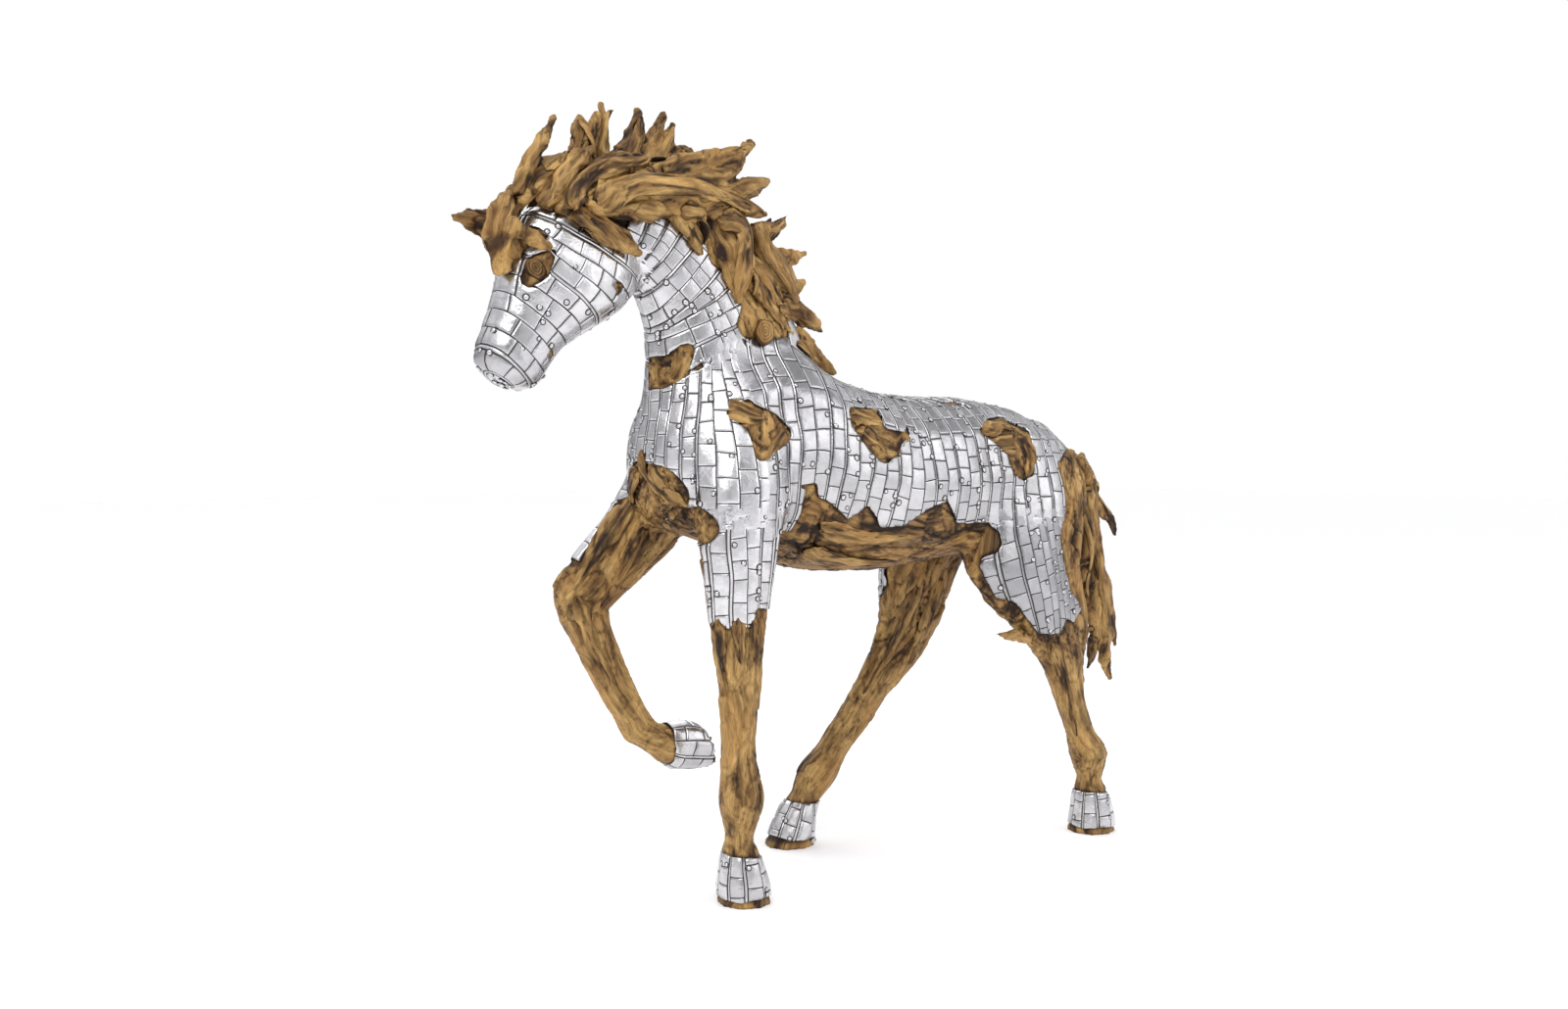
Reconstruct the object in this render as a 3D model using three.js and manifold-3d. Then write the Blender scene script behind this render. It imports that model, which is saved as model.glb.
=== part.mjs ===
// A walking horse, near life size, built of driftwood and clad in hand-beaten metal plates.
// Millimetres, +Z up, ground at Z = 0. The horse faces -X and its left side is at -Y.
import * as THREE from "three";
import { mergeVertices } from "three/addons/utils/BufferGeometryUtils.js";
import Module from "manifold-3d";

const wasm = await Module();
wasm.setup();

// Each row is one section of the body: front x and z, back x and z in the side view, half width, middle y.
const TRUNK = [
  [-522, 1110, -522, 1020, 40, 0], // point of the chest
  [-505, 1195, -505, 935, 112, 0],
  [-450, 1270, -450, 892, 166, 0],
  [-350, 1345, -350, 862, 203, 0], // shoulders
  [-230, 1378, -230, 822, 222, 0],
  [-120, 1368, -120, 797, 230, 0], // withers
  [0, 1300, 0, 776, 238, 0],
  [170, 1256, 170, 770, 246, 0], // ribs
  [340, 1246, 340, 785, 242, 0],
  [500, 1248, 500, 812, 232, 0], // loin
  [640, 1228, 640, 850, 226, 0],
  [760, 1178, 760, 890, 200, 0], // croup
  [850, 1130, 850, 925, 160, 0],
  [920, 1070, 920, 970, 95, 0],
  [945, 1040, 945, 1000, 40, 0], // dock
];
const NECK = [
  [-500, 1060, 20, 1230, 150, 0], // base, inside the trunk
  [-512, 1205, -40, 1355, 135, 0],
  [-504, 1305, -85, 1440, 116, 0],
  [-508, 1395, -138, 1520, 103, 0],
  [-533, 1465, -212, 1600, 94, 0],
  [-580, 1525, -320, 1672, 86, 0],
  [-650, 1575, -430, 1712, 76, 0],
  [-720, 1610, -520, 1712, 66, 0], // poll
];
const HEAD = [
  [-775, 1690, -600, 1695, 44, 0], // poll
  [-852, 1650, -548, 1605, 80, 0],
  [-895, 1572, -548, 1490, 99, 0], // brow
  [-915, 1500, -605, 1430, 100, 0], // cheek
  [-932, 1435, -695, 1380, 84, 0],
  [-955, 1375, -765, 1334, 70, 0],
  [-972, 1328, -802, 1286, 66, 0], // nostrils
  [-975, 1298, -822, 1250, 62, 0],
  [-948, 1278, -868, 1238, 44, 0], // lips
];
const FORE_LEFT = [
  [-290, 1330, -170, 1330, 20, -90],
  [-425, 1180, -150, 1200, 62, -140], // shoulder
  [-480, 1000, -205, 1020, 86, -160],
  [-472, 865, -255, 870, 78, -170], // elbow
  [-452, 700, -290, 705, 62, -177],
  [-430, 545, -313, 540, 47, -184],
  [-420, 400, -335, 398, 41, -188], // cannon
  [-424, 262, -318, 258, 50, -190], // fetlock
  [-408, 165, -345, 160, 38, -190], // pastern
  [-420, 108, -322, 105, 58, -190], // coronet
  [-427, 50, -303, 50, 67, -190],
  [-424, 0, -300, 0, 68, -190], // sole
];
const FORE_RIGHT = [
  [-280, 1330, -160, 1330, 20, 90],
  [-415, 1180, -150, 1180, 62, 135], // shoulder
  [-470, 1030, -215, 985, 84, 150],
  [-528, 938, -335, 842, 72, 160], // elbow
  [-600, 860, -438, 752, 57, 175],
  [-672, 763, -512, 692, 51, 190], // knee
  [-645, 665, -505, 655, 46, 190],
  [-580, 550, -458, 548, 40, 190],
  [-510, 436, -398, 432, 39, 190], // cannon
  [-458, 352, -372, 398, 43, 190], // fetlock
  [-376, 305, -355, 386, 39, 190], // pastern
  [-314, 264, -325, 388, 57, 190], // coronet
  [-245, 254, -282, 390, 65, 190],
  [-193, 256, -242, 378, 66, 190], // sole, turned back
];
const HIND_LEFT = [
  [600, 1180, 780, 1180, 20, -90],
  [515, 1075, 870, 1070, 85, -125], // hip
  [448, 955, 898, 955, 106, -140],
  [408, 850, 868, 870, 102, -152],
  [412, 760, 842, 775, 94, -166], // stifle
  [485, 668, 862, 668, 76, -182],
  [592, 586, 868, 588, 58, -190],
  [688, 490, 828, 485, 44, -195], // hock
  [735, 400, 832, 396, 39, -198],
  [785, 300, 866, 296, 41, -200], // cannon
  [808, 235, 920, 228, 48, -200], // fetlock
  [838, 160, 900, 152, 38, -200], // pastern
  [826, 103, 925, 98, 58, -200], // coronet
  [820, 50, 943, 48, 65, -200],
  [812, 0, 946, 0, 67, -200], // sole
];
const HIND_RIGHT = [
  [590, 1180, 770, 1180, 20, 90],
  [465, 1060, 850, 1070, 85, 120], // hip
  [385, 930, 790, 945, 100, 128],
  [378, 820, 698, 835, 93, 137], // stifle
  [390, 715, 645, 712, 78, 155],
  [400, 610, 632, 600, 61, 177],
  [380, 525, 548, 478, 50, 188], // hock
  [330, 440, 434, 387, 42, 195],
  [262, 350, 358, 298, 39, 198], // cannon
  [195, 262, 278, 230, 41, 200],
  [130, 205, 240, 172, 47, 200], // fetlock
  [103, 145, 184, 122, 39, 200], // pastern
  [68, 105, 163, 92, 57, 200], // coronet
  [35, 50, 156, 48, 65, 200],
  [15, 0, 152, 0, 67, 200], // sole
];
const SIDES = { trunk: 12, neck: 12, head: 12, leg: 8, lock: 4 };
const FULLNESS = 0.88; // power of the section: 1 is an ellipse, less is squarer
const MIDDLE_X = 61; // middle of the horse's length, put over the origin
const GAP = 0.4; // air between two pieces that touch
const SHEET = 3.2; // thickness of a metal plate with its folded seams
const REACH = 400; // further out from the middle plane than any part of the horse
const EYE = { x: -862, y: 76, z: 1515, across: 26, bulge: 17 };

// Where metal covers the wood, in the side view, each with the Y it starts from and the side it is on.
const TORSO_EDGE = [
  [-560, 1218], [-560, 1125], [-512, 1060], [-478, 1005], [-465, 945], [-435, 920], [-230, 960], [-205, 1018],
  [-155, 1020], [-145, 985], [-105, 970], [-55, 932], [5, 962], [55, 910], [125, 905], [155, 930], [225, 957],
  [270, 970], [325, 910], [460, 903], [700, 903], [700, 1065], [900, 1145], [900, 1300], [-130, 1500], [-150, 1352],
  [-168, 1376], [-310, 1368], [-490, 1248],
];
const FOREARM_EDGE = [
  [-560, 960], [-560, 845], [-447, 690], [-440, 680], [-370, 682], [-362, 722], [-315, 718], [-230, 720], [-190, 1000],
  [-300, 1010],
];
const THIGH_EDGE = [
  [455, 905], [482, 880], [482, 845], [468, 820], [440, 806], [436, 785], [446, 755], [485, 697], [525, 685],
  [570, 640], [625, 592], [690, 595], [710, 632], [745, 620], [780, 650], [728, 705], [705, 770], [680, 855], [695, 905],
];
const RIGHT_TORSO_EDGE = [
  [-560, 1218], [-560, 1125], [-512, 1060], [-450, 935], [-200, 1000], [-60, 935], [130, 915], [280, 965], [420, 903],
  [690, 903], [715, 1060], [900, 1145], [900, 1300], [-130, 1500], [-155, 1362], [-310, 1368], [-490, 1248],
];
const RIGHT_FOREARM_EDGE = [[-640, 1000], [-650, 825], [-560, 800], [-470, 850], [-300, 870], [-200, 1000], [-320, 1010]];
const RIGHT_THIGH_EDGE = [[370, 905], [365, 800], [400, 690], [470, 640], [560, 665], [600, 760], [640, 905]];
const NECK_EDGE = [
  [-660, 1640], [-612, 1655], [-555, 1657], [-485, 1646], [-425, 1620], [-400, 1598], [-392, 1540], [-350, 1535],
  [-335, 1480], [-310, 1455], [-325, 1405], [-312, 1372], [-440, 1303], [-490, 1251], [-562, 1220], [-562, 1560],
];
const RIGHT_NECK_EDGE = [[-640, 1640], [-485, 1648], [-390, 1560], [-320, 1430], [-312, 1372], [-490, 1251], [-562, 1220],
  [-562, 1560]];
const HEAD_EDGE = [
  [-1010, 1535], [-905, 1532], [-860, 1563], [-822, 1566], [-830, 1604], [-882, 1628], [-890, 1654], [-840, 1660],
  [-810, 1642], [-765, 1622], [-722, 1594], [-680, 1597], [-625, 1574], [-565, 1562], [-565, 1200], [-1010, 1200],
];
const RIGHT_HEAD_EDGE = [[-1010, 1535], [-905, 1532], [-850, 1590], [-800, 1640], [-620, 1574], [-565, 1562], [-565, 1200],
  [-1010, 1200]];
const HOOF_EDGES = {
  fore_left: [[-460, 24], [-450, 122], [-290, 112], [-280, 24]],
  hind_left: [[780, 24], [790, 120], [960, 108], [970, 24]],
  hind_right: [[-10, 26], [20, 124], [190, 110], [190, 26]],
  fore_right: [[-325, 240], [-335, 420], [-250, 420], [-212, 240]],
};

// Openings torn in the metal, where the driftwood shows.
const NECK_PATCH = [
  [-540, 1345], [-492, 1330], [-470, 1356], [-438, 1366], [-430, 1340], [-450, 1285], [-485, 1270], [-500, 1240],
  [-540, 1226],
];
const SHOULDER_PATCH = [
  [-402, 1188], [-350, 1230], [-320, 1210], [-265, 1197], [-228, 1140], [-238, 1124], [-280, 1130], [-292, 1100],
  [-320, 1070], [-358, 1064], [-370, 1135],
];
const RIBS_PATCH = [
  [-60, 1195], [-38, 1212], [76, 1208], [72, 1165], [130, 1146], [158, 1170], [180, 1170], [115, 1108], [105, 1080],
  [45, 1060], [15, 1078], [-45, 1150],
];
const RUMP_PATCH = [
  [400, 1148], [440, 1162], [475, 1186], [550, 1196], [580, 1176], [625, 1160], [605, 1025], [562, 1004], [520, 1028],
  [505, 1085], [470, 1112],
];
const EYE_OPENING = [
  [-898, 1496], [-876, 1537], [-850, 1552], [-815, 1560], [-818, 1525], [-836, 1484], [-862, 1472], [-890, 1458],
];
const JAW_PATCH = [[-690, 1496], [-655, 1498], [-628, 1492], [-638, 1450], [-662, 1460]];
const MOUTH_PATCH = [[-836, 1322], [-818, 1334], [-798, 1336], [-792, 1312], [-806, 1298]];

// Ears, mane and tail: each piece is one or more branches, a branch is rows of
// middle x, y, z, width in the side view and thickness. Pieces in front come first and cut those behind.
const LOCKS = {
  ear_right: [[[-840, 40, 1600, 60, 50], [-915, 68, 1622, 72, 36], [-960, 76, 1630, 44, 22], [-994, 82, 1638, 8, 8]]],
  ear_left: [[[-893, -45, 1680, 45, 36], [-862, -50, 1755, 42, 30], [-825, -55, 1815, 30, 24], [-800, -60, 1868, 8, 8]]],
  forelock: [
    [[-868, -5, 1690, 50, 60], [-910, -15, 1640, 80, 80], [-930, -25, 1565, 85, 76], [-922, -30, 1502, 45, 40]],
    [[-925, -35, 1610, 60, 50], [-895, -50, 1552, 45, 36], [-892, -50, 1530, 16, 16]],
    [[-925, -55, 1612, 44, 36], [-880, -80, 1582, 40, 32], [-832, -90, 1556, 18, 16]],
  ],
  mane_lock_01: [[[-775, -98, 1642, 40, 40], [-710, -105, 1612, 64, 44], [-650, -108, 1586, 46, 34], [-603, -106, 1560, 10, 12]]],
  mane_lock_02: [
    [[-740, -95, 1668, 40, 44], [-630, -102, 1698, 95, 54], [-500, -102, 1725, 130, 58], [-400, -96, 1745, 120, 50],
      [-330, -90, 1792, 70, 40], [-260, -85, 1858, 16, 16]],
    [[-460, -98, 1715, 110, 50], [-350, -92, 1710, 90, 40], [-262, -86, 1694, 46, 30], [-212, -80, 1688, 12, 12]],
    [[-340, -88, 1720, 60, 34], [-262, -82, 1752, 52, 30], [-200, -78, 1772, 14, 12]],
  ],
  mane_lock_03: [[[-735, -104, 1650, 35, 36], [-640, -110, 1662, 62, 42], [-560, -108, 1668, 58, 36], [-503, -102, 1655, 10, 12]]],
  mane_lock_04: [
    [[-790, -70, 1640, 45, 44], [-738, -82, 1690, 82, 50], [-682, -82, 1745, 80, 46], [-610, -74, 1778, 56, 36],
      [-548, -66, 1778, 14, 16]],
  ],
  mane_lock_05: [[[-490, -80, 1690, 60, 44], [-455, -92, 1640, 50, 36], [-428, -98, 1600, 32, 24], [-416, -98, 1572, 8, 10]]],
  mane_lock_06: [
    [[-400, -40, 1690, 80, 60], [-335, -82, 1645, 124, 60], [-318, -100, 1570, 108, 50], [-314, -108, 1500, 60, 36],
      [-314, -112, 1460, 10, 12]],
    [[-300, -96, 1575, 60, 40], [-280, -102, 1525, 40, 28], [-268, -102, 1490, 10, 10]],
  ],
  mane_lock_07: [[[-280, -75, 1580, 60, 50], [-228, -90, 1505, 86, 50], [-182, -92, 1440, 60, 38], [-136, -84, 1390, 10, 14]]],
  mane_lock_08: [[[-220, -40, 1630, 70, 60], [-168, -60, 1565, 78, 50], [-125, -60, 1512, 50, 36], [-96, -55, 1474, 10, 12]]],
  mane_lock_09: [[[-190, -40, 1520, 60, 50], [-120, -52, 1470, 76, 46], [-52, -46, 1436, 50, 34], [14, -36, 1402, 10, 12]]],
  mane_lock_10: [
    [[-170, -55, 1420, 60, 50], [-90, -60, 1376, 72, 44], [-18, -46, 1338, 50, 34], [50, -32, 1302, 12, 14]],
    [[-78, -40, 1366, 34, 28], [-40, -30, 1376, 28, 20], [-10, -26, 1382, 8, 8]],
  ],
  mane_lock_11: [[[-885, -30, 1668, 50, 50], [-805, -35, 1738, 60, 42], [-733, -35, 1788, 10, 14]]],
  mane_lock_12: [[[-830, -55, 1655, 50, 44], [-765, -58, 1730, 62, 40], [-698, -54, 1812, 10, 12]]],
  mane_lock_13: [[[-290, -40, 1600, 80, 60], [-190, -28, 1640, 84, 46], [-132, -20, 1668, 48, 32], [-92, -20, 1704, 8, 10]]],
  mane_lock_14: [
    [[-190, 0, 1600, 70, 60], [-105, 0, 1560, 88, 46], [-80, 0, 1500, 68, 38], [-52, 0, 1450, 16, 18]],
    [[-100, 0, 1590, 50, 34], [-55, 0, 1602, 34, 24], [-22, 0, 1612, 8, 8]],
    [[-95, 0, 1512, 44, 30], [-55, 0, 1522, 26, 20], [-26, 0, 1536, 8, 8]],
  ],
  mane_lock_15: [
    [[-715, 0, 1690, 70, 60], [-694, 0, 1800, 74, 50], [-696, 0, 1862, 44, 30], [-700, 0, 1894, 8, 8]],
    [[-690, 0, 1800, 46, 36], [-668, 0, 1858, 38, 28], [-650, 0, 1890, 16, 14]],
  ],
  mane_lock_16: [
    [[-645, 15, 1700, 80, 50], [-634, 10, 1810, 44, 34], [-626, 10, 1880, 28, 24], [-636, 10, 1926, 12, 12]],
    [[-626, 10, 1880, 26, 20], [-602, 10, 1916, 16, 12]],
  ],
  mane_lock_17: [
    [[-580, 10, 1690, 140, 70], [-560, 15, 1760, 150, 60], [-552, 20, 1820, 90, 46], [-528, 20, 1880, 46, 32],
      [-524, 20, 1926, 20, 16]],
    [[-520, 20, 1760, 80, 44], [-482, 20, 1850, 56, 32], [-450, 20, 1928, 10, 12]],
    [[-480, 20, 1745, 90, 44], [-440, 20, 1840, 52, 30], [-420, 20, 1908, 16, 14]],
    [[-590, 15, 1750, 70, 44], [-628, 15, 1800, 40, 26], [-640, 15, 1830, 12, 12]],
  ],
  mane_lock_18: [[[-500, 20, 1690, 80, 60], [-430, 28, 1790, 84, 46], [-372, 30, 1832, 60, 36], [-340, 30, 1820, 24, 18]]],
  tail_hook: [
    [[870, -25, 1080, 70, 90], [938, -40, 1062, 90, 96], [990, -62, 985, 90, 80], [1012, -76, 905, 56, 50]],
    [[985, -68, 975, 60, 50], [1044, -76, 928, 45, 40], [1092, -82, 886, 32, 30], [1106, -84, 838, 10, 12]],
  ],
  tail_log: [[[925, -92, 1075, 50, 60], [938, -96, 1020, 112, 88], [938, -98, 880, 124, 92], [940, -96, 770, 104, 80],
    [948, -92, 715, 40, 40]]],
  tail_lock_1: [
    [[980, -72, 940, 70, 50], [1000, -84, 800, 100, 56], [1026, -86, 680, 122, 50], [1050, -86, 590, 124, 44],
      [1044, -86, 520, 104, 40]],
    [[1050, -86, 540, 70, 36], [1070, -86, 468, 48, 30], [1092, -86, 404, 18, 16]],
    [[1015, -86, 530, 50, 32], [1000, -86, 490, 36, 26], [990, -86, 448, 8, 10]],
    [[1080, -86, 600, 60, 34], [1100, -86, 548, 38, 26], [1112, -86, 508, 10, 12]],
  ],
  tail_lock_2: [[[930, -76, 760, 60, 60], [925, -80, 650, 76, 50], [948, -80, 520, 60, 40], [965, -80, 394, 10, 12]]],
  leg_twig: [[[665, -196, 585, 46, 44], [600, -206, 584, 34, 30], [540, -210, 592, 24, 20], [470, -216, 598, 8, 8]]],
};
const MIRRORED = ["mane_lock_02", "mane_lock_06", "mane_lock_07"];
const MIRROR_SHIFT = [22, -14]; // x and z by which a right-hand lock differs from its left-hand fellow

// A mesh of shared vertices and triangles as a solid that can be joined and cut.
function solidOf(positions, triangles) {
  return new wasm.Manifold(
    new wasm.Mesh({
      numProp: 3,
      vertProperties: new Float32Array(positions),
      triVerts: new Uint32Array(triangles),
    }),
  );
}

// One ring of points round a section, counter-clockwise seen from its far side.
function ring([fx, fz, bx, bz, halfWidth, y], sides, grow) {
  const depth = Math.hypot(fx - bx, fz - bz) / 2;
  const nx = (fx - bx) / 2 / depth;
  const nz = (fz - bz) / 2 / depth;
  const points = [];
  for (let i = 0; i < sides; i++) {
    const angle = (2 * Math.PI * i) / sides;
    const across = Math.sign(Math.cos(angle)) * Math.abs(Math.cos(angle)) ** FULLNESS;
    const along = Math.sign(Math.sin(angle)) * Math.abs(Math.sin(angle)) ** FULLNESS;
    const d = (depth + grow) * along;
    points.push([(fx + bx) / 2 + nx * d, y + (halfWidth + grow) * across, (fz + bz) / 2 + nz * d]);
  }
  return points;
}

// A closed solid through a row of sections. grow thickens it all round by that much.
function limb(rows, kind, grow) {
  return loft(rows.map((row) => ring(row, SIDES[kind], grow)), grow);
}

// One branch of a lock: six-sided rings square to its path.
function branch(rows, grow) {
  const rings = rows.map(([x, y, z, width, thick], i) => {
    const before = rows[Math.max(i - 1, 0)];
    const after = rows[Math.min(i + 1, rows.length - 1)];
    const run = Math.hypot(after[0] - before[0], after[2] - before[2]);
    const nx = -(after[2] - before[2]) / run;
    const nz = (after[0] - before[0]) / run;
    return Array.from({ length: SIDES.lock }, (_, k) => {
      const angle = (2 * Math.PI * k) / SIDES.lock;
      const d = (width / 2 + grow) * Math.cos(angle);
      return [x + nx * d, y + (thick / 2 + grow) * Math.sin(angle), z + nz * d];
    });
  });
  return loft(rings, grow);
}

// A closed solid over rings of points, its two ends pushed out by grow.
function loft(rings, grow) {
  const sides = rings[0].length;
  const middle = (r) => r.reduce((m, p) => m.map((v, k) => v + p[k] / r.length), [0, 0, 0]);
  const push = (r, inner) => {
    const a = new THREE.Vector3(...middle(r));
    const b = new THREE.Vector3(...middle(inner));
    const out = a.clone().sub(b).setLength(grow);
    return r.map((p) => [p[0] + out.x, p[1] + out.y, p[2] + out.z]);
  };
  if (grow > 0) {
    rings[0] = push(rings[0], rings[1]);
    const end = rings.pop();
    rings.push(push(end, rings[rings.length - 1]));
  }
  const positions = rings.flat();
  const triangles = [];
  const at = (row, i) => row * sides + (i % sides);
  for (let row = 0; row + 1 < rings.length; row++) {
    for (let i = 0; i < sides; i++) {
      triangles.push(at(row, i), at(row, i + 1), at(row + 1, i));
      triangles.push(at(row, i + 1), at(row + 1, i + 1), at(row + 1, i));
    }
  }
  const last = rings.length - 1;
  for (let i = 1; i + 1 < sides; i++) {
    triangles.push(at(0, 0), at(0, i + 1), at(0, i));
    triangles.push(at(last, 0), at(last, i), at(last, i + 1));
  }
  const made = solidOf(positions.flat(), triangles);
  if (made.volume() > 0) return made;
  for (let i = 0; i < triangles.length; i += 3) {
    [triangles[i + 1], triangles[i + 2]] = [triangles[i + 2], triangles[i + 1]];
  }
  return solidOf(positions.flat(), triangles);
}

function join(solids) {
  return solids.reduce((a, b) => a.add(b));
}

// A side-view outline drawn out along Y, from one Y to the other.
function prism(outline, fromY, toY) {
  const shape = new THREE.Shape(outline.map(([x, z]) => new THREE.Vector2(x, z)));
  const drawn = new THREE.ExtrudeGeometry(shape, { depth: toY - fromY, bevelEnabled: false });
  drawn.rotateX(Math.PI / 2).translate(0, toY, 0);
  drawn.deleteAttribute("normal");
  drawn.deleteAttribute("uv");
  const merged = mergeVertices(drawn, GAP / 10);
  return solidOf(merged.getAttribute("position").array, merged.index.array);
}

// A ball squashed along Y, for an eye.
function ball({ x, y, z, across, bulge }, side, grow) {
  const round = new THREE.SphereGeometry(1, 8, 5).deleteAttribute("normal").deleteAttribute("uv");
  round.scale(across + grow, bulge + grow, across + grow).translate(x, side * y, z);
  const merged = mergeVertices(round, GAP / 10);
  return solidOf(merged.getAttribute("position").array, merged.index.array);
}

// The whole wooden figure without its mane and tail, thickened by grow.
function figure(grow) {
  return join([
    limb(TRUNK, "trunk", grow),
    limb(NECK, "neck", grow),
    limb(HEAD, "head", grow),
    ...[FORE_LEFT, FORE_RIGHT, HIND_LEFT, HIND_RIGHT].map((leg) => limb(leg, "leg", grow)),
    ball(EYE, -1, grow),
    ball(EYE, 1, grow),
  ]);
}

function meshOf(name, solid, colour, roughness, metalness) {
  const { vertProperties, triVerts, numProp } = solid.getMesh();
  const positions = [];
  for (let i = 0; i < vertProperties.length; i += numProp) {
    positions.push(...vertProperties.subarray(i, i + 3));
  }
  const geometry = new THREE.BufferGeometry();
  geometry.setAttribute("position", new THREE.Float32BufferAttribute(positions, 3));
  geometry.setIndex(new THREE.BufferAttribute(new Uint32Array(triVerts), 1));
  const made = new THREE.Mesh(geometry, new THREE.MeshStandardMaterial({ color: colour, roughness, metalness }));
  made.name = name;
  return made;
}

// The biggest of the loose pieces that a cut leaves.
function largest(solid) {
  return solid.decompose().reduce((a, b) => (a.volume() > b.volume() ? a : b));
}

// Each lock cut back to what is in front of it and to the body, with air between.
function cutLocks(body) {
  const [dx, dz] = MIRROR_SHIFT;
  const wanted = { ...LOCKS };
  for (const name of MIRRORED) {
    const turned = (rows) => rows.map(([x, y, z, w, t]) => [x + dx, -y, z + dz, w, t]);
    wanted[name.replace("lock", "lock_right")] = LOCKS[name].map(turned);
  }
  const done = [];
  for (const [name, branches] of Object.entries(wanted)) {
    const whole = join(branches.map((rows) => branch(rows, 0)));
    const solid = largest(done.reduce((rest, other) => rest.subtract(other.grown), whole.subtract(body)));
    done.push({ name, solid, grown: join(branches.map((rows) => branch(rows, GAP))) });
  }
  return done;
}

const wood = figure(0);
const body = figure(GAP);
const locks = cutLocks(body);
const skin = locks.reduce((rest, { grown }) => rest.subtract(grown), figure(GAP + SHEET).subtract(body));
const left = (outline, from = 0) => prism(outline, -REACH, -from);
const right = (outline, from = 0) => prism(outline, from, REACH);
const both = (outline) => prism(outline, -REACH, REACH);
const cut = (solid, holes) => holes.reduce((a, b) => a.subtract(b), solid);

const WOOD = [0x9c6b35, 0.6, 0];
const METAL = [0xc9cbd3, 0.3, 1];
const horse = new THREE.Group();
horse.position.x = -MIDDLE_X;
horse.add(meshOf("wood_body", wood, ...WOOD));
for (const { name, solid } of locks) horse.add(meshOf(name, solid, ...WOOD));
const plates = {
  head_plates: cut(skin.intersect(left(HEAD_EDGE).add(right(RIGHT_HEAD_EDGE))), [both(EYE_OPENING), left(JAW_PATCH),
    left(MOUTH_PATCH)]),
  neck_plates: cut(skin.intersect(left(NECK_EDGE).add(right(RIGHT_NECK_EDGE))), [prism(NECK_PATCH, -REACH, 25)]),
  body_plates: cut(
    skin.intersect(join([left(TORSO_EDGE), right(RIGHT_TORSO_EDGE), left(FOREARM_EDGE, 165), left(THIGH_EDGE, 160),
      right(RIGHT_FOREARM_EDGE, 160), right(RIGHT_THIGH_EDGE, 150)])),
    [left(SHOULDER_PATCH), left(RIBS_PATCH), left(RUMP_PATCH)],
  ),
};
for (const [name, solid] of Object.entries(plates)) horse.add(meshOf(name, largest(solid), ...METAL));
for (const [name, edge] of Object.entries(HOOF_EDGES)) {
  const side = name.endsWith("left") ? left : right;
  horse.add(meshOf(`hoof_plates_${name}`, largest(skin.intersect(side(edge))), ...METAL));
}

const scene = new THREE.Group();
scene.add(horse);
export default scene;
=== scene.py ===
"""A walking horse of fitted driftwood, clad in hand-beaten metal tiles, with a driftwood mane and tail."""

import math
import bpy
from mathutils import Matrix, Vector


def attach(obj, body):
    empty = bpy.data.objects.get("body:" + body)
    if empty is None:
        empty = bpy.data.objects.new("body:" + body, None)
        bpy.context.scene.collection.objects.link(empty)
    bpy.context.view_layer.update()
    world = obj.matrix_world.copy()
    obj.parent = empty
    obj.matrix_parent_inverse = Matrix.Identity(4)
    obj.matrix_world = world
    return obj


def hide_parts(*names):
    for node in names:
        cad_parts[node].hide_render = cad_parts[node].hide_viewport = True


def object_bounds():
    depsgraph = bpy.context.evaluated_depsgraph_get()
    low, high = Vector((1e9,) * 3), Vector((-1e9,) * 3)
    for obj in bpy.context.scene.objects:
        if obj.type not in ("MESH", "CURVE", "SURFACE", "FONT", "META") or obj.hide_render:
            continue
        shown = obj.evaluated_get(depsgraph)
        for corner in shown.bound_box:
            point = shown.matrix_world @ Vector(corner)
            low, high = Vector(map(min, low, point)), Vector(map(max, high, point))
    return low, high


bl_info = {
    "name": "Driftwood Horse",
    "version": (1, 0, 0),
    "blender": (4, 5, 0),
    "location": "3D View > Sidebar > Horse",
    "description": "Dresses the solid horse in root wood and hammered metal tiles",
    "category": "Add Mesh",
}

from itertools import product

import bpy
import numpy as np
from bpy.props import FloatProperty, FloatVectorProperty, IntProperty, PointerProperty
from mathutils import Vector
from mathutils.bvhtree import BVHTree

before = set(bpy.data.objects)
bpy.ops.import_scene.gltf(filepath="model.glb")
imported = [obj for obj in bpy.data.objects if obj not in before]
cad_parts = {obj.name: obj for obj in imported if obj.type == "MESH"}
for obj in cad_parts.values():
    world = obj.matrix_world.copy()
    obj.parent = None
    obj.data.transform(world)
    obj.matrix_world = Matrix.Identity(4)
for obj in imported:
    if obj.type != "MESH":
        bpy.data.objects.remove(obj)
CAD_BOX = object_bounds()
ROOT = "root"  # the one rigid body
MM = 0.001

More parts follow.
